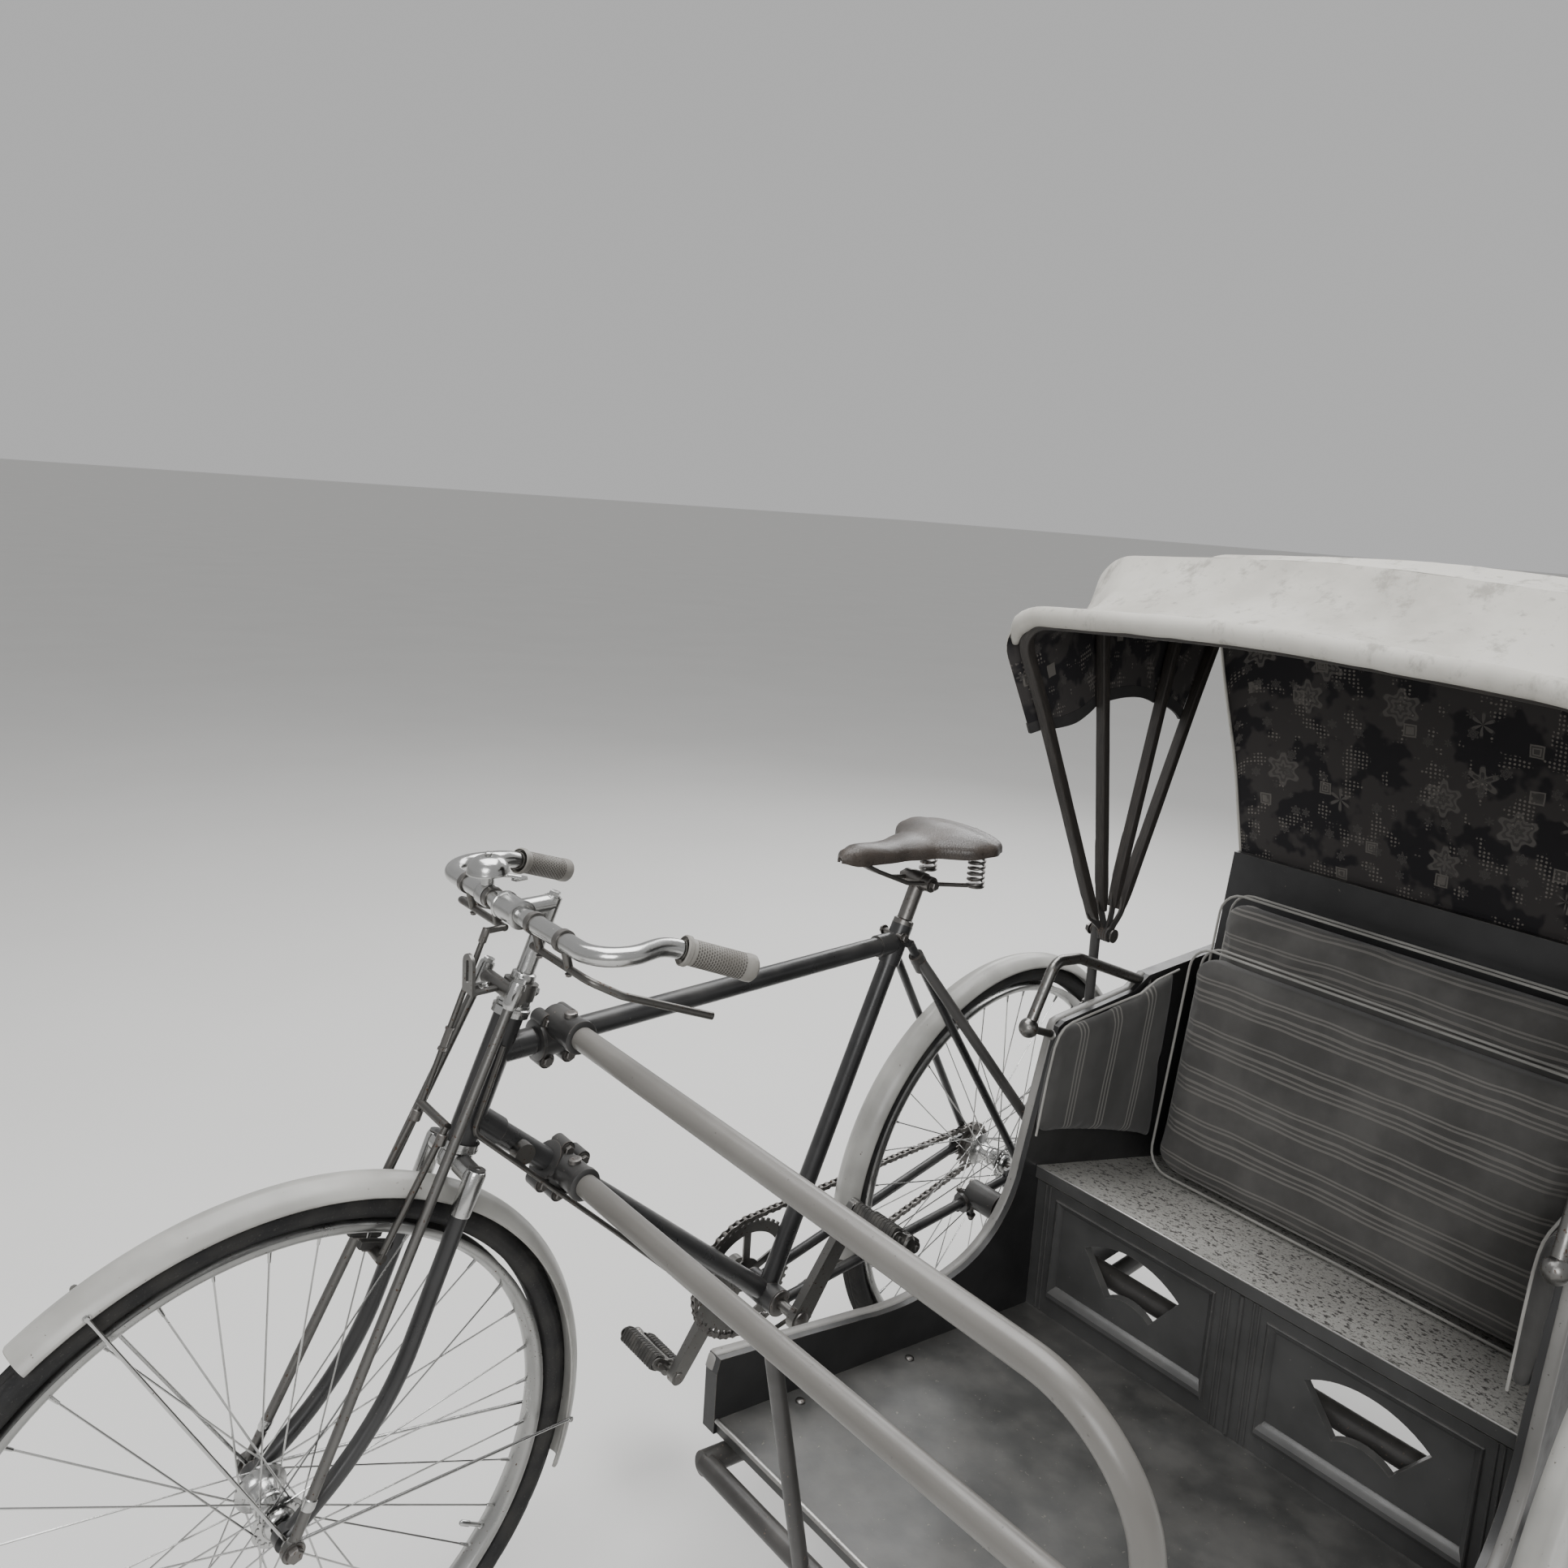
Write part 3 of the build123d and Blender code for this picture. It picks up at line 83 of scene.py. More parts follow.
def new_finish(name, **constants):
    """finish whose constant values stand on the shader itself"""
    finish = bpy.data.materials.new(name)
    finish.use_nodes = True
    for key, value in constants.items():
        finish.node_tree.nodes["Principled BSDF"].inputs[key.replace("_", " ")].default_value = value
    return finish


def wire(finish, **outputs):
    """leads nodes into the finish's shader"""
    shader = finish.node_tree.nodes["Principled BSDF"]
    for key, value in outputs.items():
        finish.node_tree.links.new(value, shader.inputs[key.replace("_", " ")])


def object_place(finish):
    """place on the piece, in metres"""
    return shader_node(finish, "TexCoord", {}, "Object")


def cloud(finish, where, scale, detail=4.0, roughness=0.55, stretch=None):
    """soft uneven pattern; stretch draws it out along the axes"""
    if stretch:
        where = shader_node(finish, "Mapping", {"Vector": where, "Scale": stretch})
    return shader_node(finish, "TexNoise", {"Vector": where, "Scale": scale, "Detail": detail,
                                            "Roughness": roughness})


def step_up(finish, value, low, high, to_low=0.0, to_high=1.0):
    """value spread smoothly from low to high"""
    return shader_node(finish, "MapRange", {"Value": value, "From Min": low, "From Max": high,
                                            "To Min": to_low, "To Max": to_high},
                       interpolation_type="SMOOTHSTEP")


def sum_of(finish, a, b, operation="ADD"):
    """two values joined by one operation"""
    return shader_node(finish, "Math", {0: a, 1: b}, operation=operation, use_clamp=operation != "SUBTRACT")


def mixed(finish, factor, a, b):
    """colour between a and b"""
    return shader_node(finish, "Mix", {0: factor, 6: a, 7: b}, 2, data_type="RGBA")


def relief(finish, height, depth, strength=1.0):
    """height of the surface's small relief, in metres"""
    return shader_node(finish, "Bump", {"Height": height, "Distance": depth, "Strength": strength})


def floor_finish():
    """pale matt studio floor"""
    finish = new_finish("studio_floor", Roughness=0.85)
    where = object_place(finish)
    tone = cloud(finish, where, 1.4)
    wire(finish, Base_Color=mixed(finish, tone, (0.66, 0.655, 0.64, 1), (0.72, 0.715, 0.70, 1)))
    return finish


floor_half = 150000.0
floor_mesh = bpy.data.meshes.new("studio_floor")
floor_corners = ((-1, -1), (1, -1), (1, 1), (-1, 1))
floor_mesh.from_pydata([spot(x * floor_half, y * floor_half, 0) for x, y in floor_corners], [],
                       [(0, 1, 2, 3)])
floor_mesh.materials.append(floor_finish())
floor = bpy.data.objects.new("studio_floor", floor_mesh)
bpy.context.collection.objects.link(floor)

world = bpy.data.worlds.new("studio")
world.use_nodes = True
sky = world.node_tree.nodes["Background"]
sky.inputs["Color"].default_value = (0.95, 0.95, 0.95, 1)
sky.inputs["Strength"].default_value = 0.55
bpy.context.scene.world = world


def soft_light(name, place, target, side, power):
    """square area light that faces a point"""
    lamp = bpy.data.lights.new(name, "AREA")
    lamp.size = side * mm
    lamp.energy = power
    holder = bpy.data.objects.new(name, lamp)
    holder.location = spot(*place)
    holder.rotation_euler = (spot(*target) - spot(*place)).to_track_quat("-Z", "Y").to_euler()
    bpy.context.collection.objects.link(holder)


vehicle_middle = (450, 400, 600)
soft_light("light_overhead", (300, -300, 4200), vehicle_middle, 3200, 190)
soft_light("light_front_left", (3200, 2600, 2600), vehicle_middle, 1800, 70)
soft_light("light_behind", (-2600, -1500, 2800), vehicle_middle, 2200, 70)

camera = bpy.data.cameras.new("camera")
camera.sensor_width = 36.0
camera.lens = 27.493
camera.shift_x = -0.06
camera.shift_y = -0.06
camera_stand = bpy.data.objects.new("camera", camera)
camera_stand.location = spot(1579.9, 1246.2, 1478.7)
camera_stand.rotation_euler = (radians(81.434), radians(-4.238), radians(136.4305))
bpy.context.collection.objects.link(camera_stand)
bpy.context.scene.camera = camera_stand

# Bicycle frame: brazed steel tubes and lugs under old black enamel, chipped to
# bare metal along the edges and dusty on top.
front_hub = (1202.0, 0.0, 355.0)
rear_hub = (0.0, 0.0, 355.0)
side_hub = (115.0, 1015.0, 355.0)
bracket = (509.0, 0.0, 310.0)
seat_tube_angle = radians(66.3)
seat_lug_along = 566.0
weld_distance = 0.000004


def edge_wear(finish, radius, reach):
    """one along sharp edges, nought on flat faces"""
    soft_normal = shader_node(finish, "Bevel", {"Radius": radius}, samples=4)
    true_normal = shader_node(finish, "NewGeometry", {}, "Normal")
    likeness = shader_node(finish, "VectorMath", {0: soft_normal, 1: true_normal}, "Value",
                           operation="DOT_PRODUCT")
    return step_up(finish, likeness, 1.0, 1.0 - reach)


def top_dust(finish, where, amount):
    """dust that settles where the surface faces up"""
    true_normal = shader_node(finish, "NewGeometry", {}, "Normal")
    upright = shader_node(finish, "SeparateXYZ", {0: true_normal}, "Z")
    settled = step_up(finish, upright, 0.15, 0.95, 0.0, amount)
    return sum_of(finish, settled, step_up(finish, cloud(finish, where, 18), 0.35, 0.7), "MULTIPLY")


def enamel(name, colour, bare, chips, dust, gloss):
    """aged paint: uneven tone, chips down to the bare material, dust on top"""
    finish = new_finish(name, Coat_Weight=0.25, Coat_Roughness=0.25)
    where = object_place(finish)
    uneven = cloud(finish, where, 7)
    dark = tuple(c * 0.78 for c in colour) + (1,)
    light = tuple(min(c * 1.2 + 0.008, 1) for c in colour) + (1,)
    tone = mixed(finish, step_up(finish, uneven, 0.3, 0.7), dark, light)
    flecks = step_up(finish, cloud(finish, where, 160, 6), 0.74 - chips, 0.78 - chips)
    edges = sum_of(finish, edge_wear(finish, 0.0018, 0.25),
                   step_up(finish, cloud(finish, where, 60), 0.4, 0.6), "MULTIPLY")
    worn = sum_of(finish, flecks, edges)
    settled = top_dust(finish, where, dust)
    tone = mixed(finish, worn, tone, bare + (1,))
    tone = mixed(finish, settled, tone, (0.36, 0.34, 0.31, 1))
    rough = step_up(finish, sum_of(finish, cloud(finish, where, 30), settled), 0.2, 1.3, gloss, gloss + 0.4)
    height = sum_of(finish, step_up(finish, cloud(finish, where, 240), 0.2, 0.8, 0.5, 0.62), worn,
                    "SUBTRACT")
    wire(finish, Base_Color=tone, Roughness=rough, Normal=relief(finish, height, 0.00025))
    return finish


frame_enamel = enamel("frame_enamel", (0.019, 0.019, 0.0195), (0.20, 0.18, 0.16), 0.02, 0.10, 0.24)


def dress(finish, *nodes):
    """gives CAD pieces their finish"""
    for name in nodes:
        piece = frame["nodes"][name]
        for holder in piece.material_slots:
            holder.material = finish
        if not piece.material_slots:
            piece.data.materials.append(finish)


dress(frame_enamel, "head_tube", "top_tube", "down_tube", "seat_tube", "chain_stays", "seat_stays")


class Shape:
    """faces of one piece, gathered in millimetres"""

    def __init__(self):
        self.points = []
        self.faces = []
        self.slots = []
        self.places = []

    def grid(self, rows, wrap_rows=False, wrap_ring=False, slot=0):
        """faces between rows of points; places hold their run in metres"""
        start = len(self.points)
        width = len(rows[0])
        along = [0.0]
        for a, b in zip(rows, rows[1:] + rows[:1]):
            along.append(along[-1] + (b[width // 2] - a[width // 2]).length * mm)
        middle = rows[len(rows) // 2]
        ring = [0.0]
        for a, b in zip(middle, middle[1:] + middle[:1]):
            ring.append(ring[-1] + (b - a).length * mm)
        for row in rows:
            self.points.extend(row)
        for i in range(len(rows) if wrap_rows else len(rows) - 1):
            for j in range(width if wrap_ring else width - 1):
                k = (i + 1) % len(rows)
                m = (j + 1) % width
                self.faces.append([start + i * width + j, start + k * width + j,
                                   start + k * width + m, start + i * width + m])
                self.places.append([(along[i], ring[j]), (along[i + 1], ring[j]),
                                    (along[i + 1], ring[j + 1]), (along[i], ring[j + 1])])
                self.slots.append(slot)

    def cap(self, ring, slot=0):
        """one flat face on a ring of points"""
        start = len(self.points)
        self.points.extend(ring)
        self.faces.append(list(range(start, start + len(ring))))
        self.places.append([((p - ring[0]).dot(ring[1] - ring[0]) * mm * mm, p.z * mm) for p in ring])
        self.slots.append(slot)

    def loft(self, rows, slot=0):
        """closed body through rings of points, capped at both ends"""
        self.grid(rows, False, True, slot)
        self.cap(rows[0], slot)
        self.cap(rows[-1], slot)

    def tube(self, path, radius, sides=16, wrap=False, slot=0):
        """round bar along a path; radius is a number or one for each point"""
        path = [Vector(p) for p in path]
        count = len(path)
        radii = radius if isinstance(radius, (list, tuple)) else [radius] * count
        first = (path[1] - path[0]).normalized()
        normal = first.orthogonal().normalized()
        rows = []
        for i, point in enumerate(path):
            after = path[(i + 1) % count] if wrap or i < count - 1 else point
            before = path[i - 1] if wrap or i > 0 else point
            run = (after - before).normalized()
            normal = (normal - run * normal.dot(run)).normalized()
            side = run.cross(normal)
            rows.append([point + (normal * cos(2 * pi * j / sides)
                                  + side * sin(2 * pi * j / sides)) * radii[i]
                         for j in range(sides)])
        if wrap:
            self.grid(rows, True, True, slot)
        else:
            self.loft(rows, slot)

    def turned(self, profile, middle, axis=(0, 1, 0), steps=48, slot=0, closed=False):
        """body turned about an axis from (along, radius) pairs"""
        middle = Vector(middle)
        axis = Vector(axis).normalized()
        normal = axis.orthogonal().normalized()
        side = axis.cross(normal)
        rows = []
        for k in range(steps):
            a = 2 * pi * k / steps
            out = normal * cos(a) + side * sin(a)
            rows.append([middle + axis * along + out * radius for along, radius in profile])
        self.grid(rows, True, closed, slot)
        if not closed:
            for end in (0, -1):
                if profile[end][1] > 0:
                    self.cap([row[end] for row in rows], slot)

    def sheet(self, rows, depth, outer_slot=0, inner_slot=0, edge_slot=0):
        """thin closed shell round rows of points; rows run so that their outer face has slot one"""
        count = len(rows)
        width = len(rows[0])
        outer = []
        inner = []
        for i in range(count):
            outer_row = []
            inner_row = []
            for j in range(width):
                along = rows[min(i + 1, count - 1)][j] - rows[max(i - 1, 0)][j]
                across = rows[i][min(j + 1, width - 1)] - rows[i][max(j - 1, 0)]
                normal = along.cross(across).normalized()
                outer_row.append(rows[i][j] - normal * depth / 2)
                inner_row.append(rows[i][j] + normal * depth / 2)
            outer.append(outer_row)
            inner.append(inner_row)
        self.grid(outer, slot=outer_slot)
        self.grid([list(reversed(row)) for row in inner], slot=inner_slot)
        for near, far in ((outer[0], inner[0]), (inner[-1], outer[-1])):
            self.grid([near, far], slot=edge_slot)
        for j in (0, -1):
            self.grid([[row[j] for row in outer], [row[j] for row in inner]], slot=edge_slot)

    def plate(self, outline, depth, slot=0):
        """flat plate of one outline and a depth vector"""
        outline = [Vector(p) for p in outline]
        depth = Vector(depth)
        self.loft([outline, [p + depth for p in outline]], slot)

    def bolt(self, middle, axis, size, slot=0):
        """washer and six-sided head with a rounded top"""
        self.turned([(0, size * 1.25), (size * 0.22, size * 1.25)], middle, axis, 24, slot)
        self.turned([(size * 0.2, size), (size * 0.85, size), (size * 1.02, size * 0.82)], middle, axis, 6,
                    slot)

    def piece(self, name, body, *finishes, slot=None, stands_for=None, sharp=35):
        """the finished piece: its body and the CAD node that it replaces; the slot argument is not used"""
        mesh = bpy.data.meshes.new(name)
        mesh.from_pydata([spot(*p) for p in self.points], [], self.faces)
        for finish in finishes:
            mesh.materials.append(finish)
        mesh.polygons.foreach_set("material_index", self.slots)
        layer = mesh.uv_layers.new(name="run")
        layer.data.foreach_set("uv", [n for face in self.places for place in face for n in place])
        work = bmesh.new()
        work.from_mesh(mesh)
        bmesh.ops.remove_doubles(work, verts=work.verts, dist=weld_distance)
        bmesh.ops.recalc_face_normals(work, faces=work.faces)
        work.to_mesh(mesh)
        work.free()
        mesh.polygons.foreach_set("use_smooth", [True] * len(mesh.polygons))
        mesh.set_sharp_from_angle(angle=radians(sharp))
        made = bpy.data.objects.new(name, mesh)
        bpy.context.collection.objects.link(made)
        if body:
            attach(made, body)
        if stands_for:
            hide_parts(stands_for)
        return made


def rounded_square(half, soften, steps=3):
    """ring of a square with rounded corners"""
    ring = []
    for corner in range(4):
        for k in range(steps + 1):
            a = radians(90 * corner + 90 * k / steps)
            cx = (half - soften) * (1 if corner in (0, 3) else -1)
            cy = (half - soften) * (1 if corner in (0, 1) else -1)
            ring.append((cx + soften * cos(a), cy + soften * sin(a)))
    return ring


def plated(name, colour, roughness, rust):
    """old plating: dull patches, fine pits and rust specks"""
    finish = new_finish(name, Metallic=1.0)
    where = object_place(finish)
    patches = cloud(finish, where, 25)
    specks = step_up(finish, cloud(finish, where, 260, 5), 0.70 - rust, 0.76 - rust)
    dull = tuple(c * 0.72 for c in colour) + (1,)
    tone = mixed(finish, patches, colour + (1,), dull)
    tone = mixed(finish, specks, tone, (0.10, 0.06, 0.04, 1))
    rough = step_up(finish, sum_of(finish, patches, specks), 0.3, 1.2, roughness, roughness + 0.35)
    height = sum_of(finish, cloud(finish, where, 500), specks, "SUBTRACT")
    wire(finish, Base_Color=tone, Roughness=rough, Normal=relief(finish, height, 0.0001))
    return finish


chrome_plate = plated("chrome_plate", (0.60, 0.60, 0.59), 0.14, 0.02)
oily_steel = plated("oily_steel", (0.23, 0.22, 0.21), 0.34, 0.08)
dress(chrome_plate, "headset")

frame_parts = Shape()
steering = next(joint for joint in frame["joints"] if joint["name"] == "steering")
head_middle = (Vector(steering["pos_m"]) - ground) / mm
head_up = Vector(steering["axis"])
head_out = Vector((head_up.z, 0, -head_up.x))


def by_head(up, out=0.0, side=0.0):
    """place beside the steering axis, measured from the middle of the head tube"""
    return head_middle + head_up * up + head_out * out + Vector((0, side, 0))


seat_run = Vector((-cos(seat_tube_angle), 0, sin(seat_tube_angle)))
seat_pin = Vector(bracket) + seat_run * seat_lug_along + Vector((12, 0, 0))
pin_half = 21
shell_half = 34
frame_parts.tube([seat_pin + Vector((0, y, 0)) for y in (-pin_half, -8, 8, pin_half)], 4.5)
for side in (-1, 1):
    frame_parts.bolt(seat_pin + Vector((0, side * pin_half, 0)), (0, side, 0), 6.5)
    frame_parts.turned([(0, 19), (2.4, 19), (4.2, 16), (4.2, 9)],
                       Vector(bracket) + Vector((0, side * shell_half, 0)), (0, side, 0), 40)
    for x, z in ((-12, 357), (22, 360)):
        frame_parts.bolt((x, side * 67.32, z), (0, side, 0), 4.2)
frame_parts.piece("frame_fittings", "vehicle", oily_steel)

# Wire wheels: steel rims rolled for rod brakes, 36 crossed spokes with nipples,
# turned hubs with flanges, and hexagon nuts on the axle ends.
spoke_count = 36
spoke_cross = radians(62)
spoke_radius = 1.1
flange_hole = 22.0
flange_inside = 26
flange_outside = 31
rim_hole = 305
nipple_length = 13
rim_steel = plated("rim_steel", (0.42, 0.42, 0.41), 0.26, 0.05)
wheel_rows = (
    ("front", front_hub, "front_wheel_body", "steering", 86.0),
    ("rear", rear_hub, "rear_wheel_body", "vehicle", 78.0),
    ("side", side_hub, "side_wheel_body", "vehicle", 62.0),
)


def wheel_point(hub, angle, radius, side):
    """point on a wheel"""
    return Vector((hub[0] + radius * cos(angle), hub[1] + side, hub[2] + radius * sin(angle)))


def wheel_metal(name, hub, body, carrier, half_axle):
    """rim, spokes, hub and nuts of one wheel"""
    rim = Shape()
    section = [(-15.5, 319), (-16.2, 316.5), (-15.4, 312), (-12, 308.5), (-8, 307), (-5, 304.6), (0, 303.8),
               (5, 304.6), (8, 307), (12, 308.5), (15.4, 312), (16.2, 316.5), (15.5, 319), (13.6, 318.2),
               (11.5, 313), (6, 309.4), (0, 308.6), (-6, 309.4), (-11.5, 313), (-13.6, 318.2)]
    rim.turned(section, hub, steps=180, closed=True)
    rim.piece(name + "_rim", body, rim_steel, sharp=60, slot="chrome", stands_for=name + "_wheel")
    spokes = Shape()
    for index in range(spoke_count):
        side = 1 if index % 2 else -1
        cross = spoke_cross if (index // 2) % 2 else -spoke_cross
        rim_angle = 2 * pi * index / spoke_count
        elbow = wheel_point(hub, rim_angle + cross, flange_hole, side * flange_outside)
        hook = wheel_point(hub, rim_angle + cross, flange_hole, side * flange_inside)
        head = wheel_point(hub, rim_angle, rim_hole, side * 3)
        nipple = head + (elbow - head).normalized() * nipple_length
        spokes.tube([hook, elbow, nipple], spoke_radius, 6)
        spokes.tube([nipple, head + (nipple - head) * 0.4, head], [1.7, 2.1, 2.4], 8)
        spokes.turned([(0, 2.2), (1.4, 1.6)], elbow, (0, side, 0), 8)
    spokes.piece(name + "_spokes", body, chrome_plate, slot="chrome")
    hub_barrel = Shape()
    half = [(0, 14.2), (9, 14.4), (17, 15.6), (23, 19), (26, 24), (27.5, 27), (30.2, 27.4), (31, 25),
            (31, 17), (36, 15.5), (39, 12), (39, 5.2)]
    hub_barrel.turned([(-a, r) for a, r in reversed(half)] + half[1:], hub, steps=56)
    hub_barrel.turned([(-4, 15.2), (-3, 16), (3, 16), (4, 15.2)], hub, steps=40)
    hub_barrel.piece(name + "_hub", body, chrome_plate, sharp=50, slot="chrome")
    nuts = Shape()
    nuts.turned([(-half_axle, 3.6), (1.5 - half_axle, 4.9), (half_axle - 1.5, 4.9), (half_axle, 3.6)], hub,
                steps=20)
    for side in (1,) if name == "side" else (-1, 1):
        nuts.bolt((hub[0], side * (half_axle - 8) + hub[1], hub[2]), (0, side, 0), 8.6)
    nuts.piece(name + "_axle_nuts", carrier, oily_steel, slot="steel")


for row in wheel_rows:
    wheel_metal(*row)

# Freewheel on the rear hub: a toothed plate on a turned steel body, in one line
# with the chain ring; both pitch circles follow from the chain's pitch.
chain_line = -50.0
chain_pitch = 12.7
cog_teeth = 18
ring_teeth = 46
cog_radius = chain_pitch / (2 * sin(pi / cog_teeth))
ring_radius = chain_pitch / (2 * sin(pi / ring_teeth))


def toothed_outline(middle, radius, teeth, y):
    """outline of a chain wheel: roller seats between pointed teeth"""
    outline = []
    for tooth in range(teeth):
        for share, reach in ((-0.32, -3.6), (-0.16, -4.3), (0, -4.5), (0.16, -4.3), (0.32, -3.6),
                             (0.42, 1.2), (0.5, 3.2), (0.58, 1.2)):
            a = 2 * pi * (tooth + share) / teeth
            outline.append(Vector((middle[0] + (radius + reach) * cos(a), y,
                                   middle[2] + (radius + reach) * sin(a))))
    return outline


freewheel = Shape()
freewheel.plate(toothed_outline(rear_hub, cog_radius, cog_teeth, chain_line - 1.4), (0, 2.8, 0))
freewheel.turned([(-55, 17), (-54.5, 24), (-51.5, 25.5), (-44, 25.5), (-43, 23), (-31, 22), (-31, 15)],
                 rear_hub, steps=48)
freewheel.piece("freewheel", "rear_wheel_body", oily_steel, slot="steel")

# Tyres: black roadster covers, 38 mm wide, with three ribs round the middle,
# slanted bars on the shoulders and a thin raised line on each wall.
tyre_rows = 540
section_steps = 40
section_middle = 336.0
section_radius = 18.95
bead_angle = 126
tread_bars = 150


def tyre_finish():
    """dusty black rubber, greyer in the tread and near the rim"""
    finish = new_finish("tyre_rubber", Specular_IOR_Level=0.3)
    where = object_place(finish)
    grey = step_up(finish, cloud(finish, where, 22, 6), 0.35, 0.75)
    grit = cloud(finish, where, 420, 3)
    tone = mixed(finish, grey, (0.016, 0.016, 0.0165, 1), (0.046, 0.044, 0.041, 1))
    tone = mixed(finish, step_up(finish, grit, 0.62, 0.7, 0.0, 0.25), tone, (0.12, 0.115, 0.105, 1))
    rough = step_up(finish, grey, 0.0, 1.0, 0.62, 0.9)
    wire(finish, Base_Color=tone, Roughness=rough, Normal=relief(finish, grit, 0.0002))
    return finish


tyre_rubber = tyre_finish()


def tread_depth(turn, around):
    """how far the surface lies below the tyre's round section, in millimetres"""
    off = abs(around)
    if off < 27:
        for groove in (8, 21):
            if abs(off - groove) < 3.2:
                return 1.5
        return 0.0
    if off < 52:
        bar = (turn * tread_bars / (2 * pi) + off / 22) % 1
        return 0.2 if bar < 0.64 else 1.7
    if abs(off - 74) < 2.4:
        return -0.35
    return 0.3


def tyre(name, hub, body):
    """one cover with its tread"""
    cover = Shape()
    rows = []
    for step in range(tyre_rows):
        turn = 2 * pi * step / tyre_rows
        row = []
        for k in range(section_steps + 1):
            around = bead_angle * (2 * k / section_steps - 1)
            reach = section_radius - tread_depth(turn, around)
            side = reach * sin(radians(around))
            if abs(around) > 100:
                side *= 1 - (abs(around) - 100) / 130
            row.append(wheel_point(hub, turn, section_middle + reach * cos(radians(around)), side))
        rows.append(row)
    cover.grid(rows, True, True)
    cover.piece(name + "_cover", body, tyre_rubber, sharp=50, slot="tyre", stands_for=name + "_tyre")
    valve = Shape()
    valve_foot = wheel_point(hub, radians(215), 304, 0)
    valve.turned([(0, 4.5), (2, 4.5), (3, 2.6), (20, 2.6), (21, 3.6), (33, 3.4), (35, 2)], valve_foot,
                 Vector(hub) - valve_foot, 16)
    valve.piece(name + "_valve", body, chrome_plate, slot="chrome")


for row in wheel_rows:
    tyre(*row[:3])

# Mudguards: rolled steel blades with a raised middle and wired edges, under
# old pale enamel, carried by thin stays that end in eyes on the axles.
guard_enamel = enamel("guard_enamel", (0.34, 0.335, 0.315), (0.10, 0.08, 0.065), 0.05, 0.1, 0.30)
guard_rows = (
    ("front", front_hub, "steering", 200, 52, 65.8, (190, 62)),
    ("rear", rear_hub, "vehicle", 205, -7, 72.0, (162, 195)),
    ("side", side_hub, "vehicle", 200, 10, 46.0, (150, 30)),
)
guard_radius = 370.0
guard_curve = 29.0
guard_skin = 1.6
guard_step = 1.6
guard_half_angle = 58
wired_edge = 2.4


def guard_section():
    """section of the blade: (offset, height) pairs, outer face, edge rolls and inner face"""
    outer = []
    for k in range(25):
        a = guard_half_angle * (k / 12 - 1)
        ridge = 1.1 if abs(a) < 6 else (0.5 if abs(a) < 10 else 0.0)
        outer.append((radians(a), guard_curve + guard_skin + ridge))
    points = [(r * sin(a), r * cos(a)) for a, r in outer]
    edge = (guard_curve * sin(radians(guard_half_angle)),
            guard_curve * cos(radians(guard_half_angle)) - 1.4)
    roll = [(edge[0] + wired_edge * cos(radians(a)), edge[1] + wired_edge * sin(radians(a)))
            for a in (30, -20, -70, -120, -170)]
    inner = [((r - guard_skin) * sin(a) * 0.995, (r - guard_skin) * cos(a)) for a, r in reversed(outer)]
    mirrored = [(-y, z) for y, z in reversed(roll)]
    return points + roll + inner + mirrored


def mudguard(name, hub, body, start, end, foot, stay_angles):
    """blade, stays and their small bolts"""
    blade = Shape()
    section = guard_section()
    rows = []
    steps = int((start - end) / guard_step)
    for k in range(steps + 1):
        a = radians(start + (end - start) * k / steps)
        rows.append([wheel_point(hub, a, guard_radius - guard_curve + z, y) for y, z in section])
    blade.loft(rows)
    blade.piece(name + "_mudguard", body, guard_enamel, sharp=50, slot="guard_paint",
                stands_for=name + "_guard")
    stays = Shape()
    for angle in stay_angles:
        a = radians(angle)
        for side in (-1, 1):
            eye = Vector(hub) + Vector((0, side * foot, 0))
            top = wheel_point(hub, a, guard_radius - 11, side * 26.5)
            run = (top - eye).normalized()
            stays.turned([(-1.3, 5.8), (-1.3, 8.6), (1.3, 8.6), (1.3, 5.8)], eye, (0, 1, 0), 24,
                         closed=True)
            stays.tube([eye + run * 8, eye + run * 30, top - run * 12, top], [2.2, 2.0, 2.0, 2.6], 10)
            stays.bolt(top + Vector((0, side * 1.2, 0)), (0, side, 0), 3.0)
    stays.piece(name + "_guard_stays", body, chrome_plate, slot="chrome")


for row in guard_rows:
    mudguard(*row)

# Roller chain: pressed side plates and turned rollers on pins, 113 links long
# with one cranked link, running from the chain ring to the freewheel.
plate_end = 4.1
plate_waist = 2.9
plate_depth = 1.1
inner_link = 2.5
outer_link = 3.8


def chain_route():
    """pins of the chain, one pitch apart, round both toothed wheels"""
    ring_middle = Vector((bracket[0], chain_line, bracket[2]))
    cog_middle = Vector((rear_hub[0], chain_line, rear_hub[2]))
    run = cog_middle - ring_middle
    tilt = atan2(run.z, run.x)
    spread = acos((ring_radius - cog_radius) / run.length)
    stops = []
    for middle, radius, start, sweep in ((ring_middle, ring_radius, tilt + spread, 2 * pi - 2 * spread),
                                         (cog_middle, cog_radius, tilt - spread, 2 * spread)):
        for k in range(97):
            a = start + sweep * k / 96
            stops.append(middle + Vector((cos(a), 0, sin(a))) * radius)
    lengths = [0.0]
    for a, b in zip(stops, stops[1:] + stops[:1]):
        lengths.append(lengths[-1] + (b - a).length)
    count = round(lengths[-1] / chain_pitch)
    pins = []
    at = 0
    for k in range(count):
        goal = lengths[-1] * k / count
        while lengths[at + 1] < goal:
            at += 1
        share = (goal - lengths[at]) / (lengths[at + 1] - lengths[at])
        pins.append(stops[at].lerp(stops[(at + 1) % len(stops)], share))
    return pins


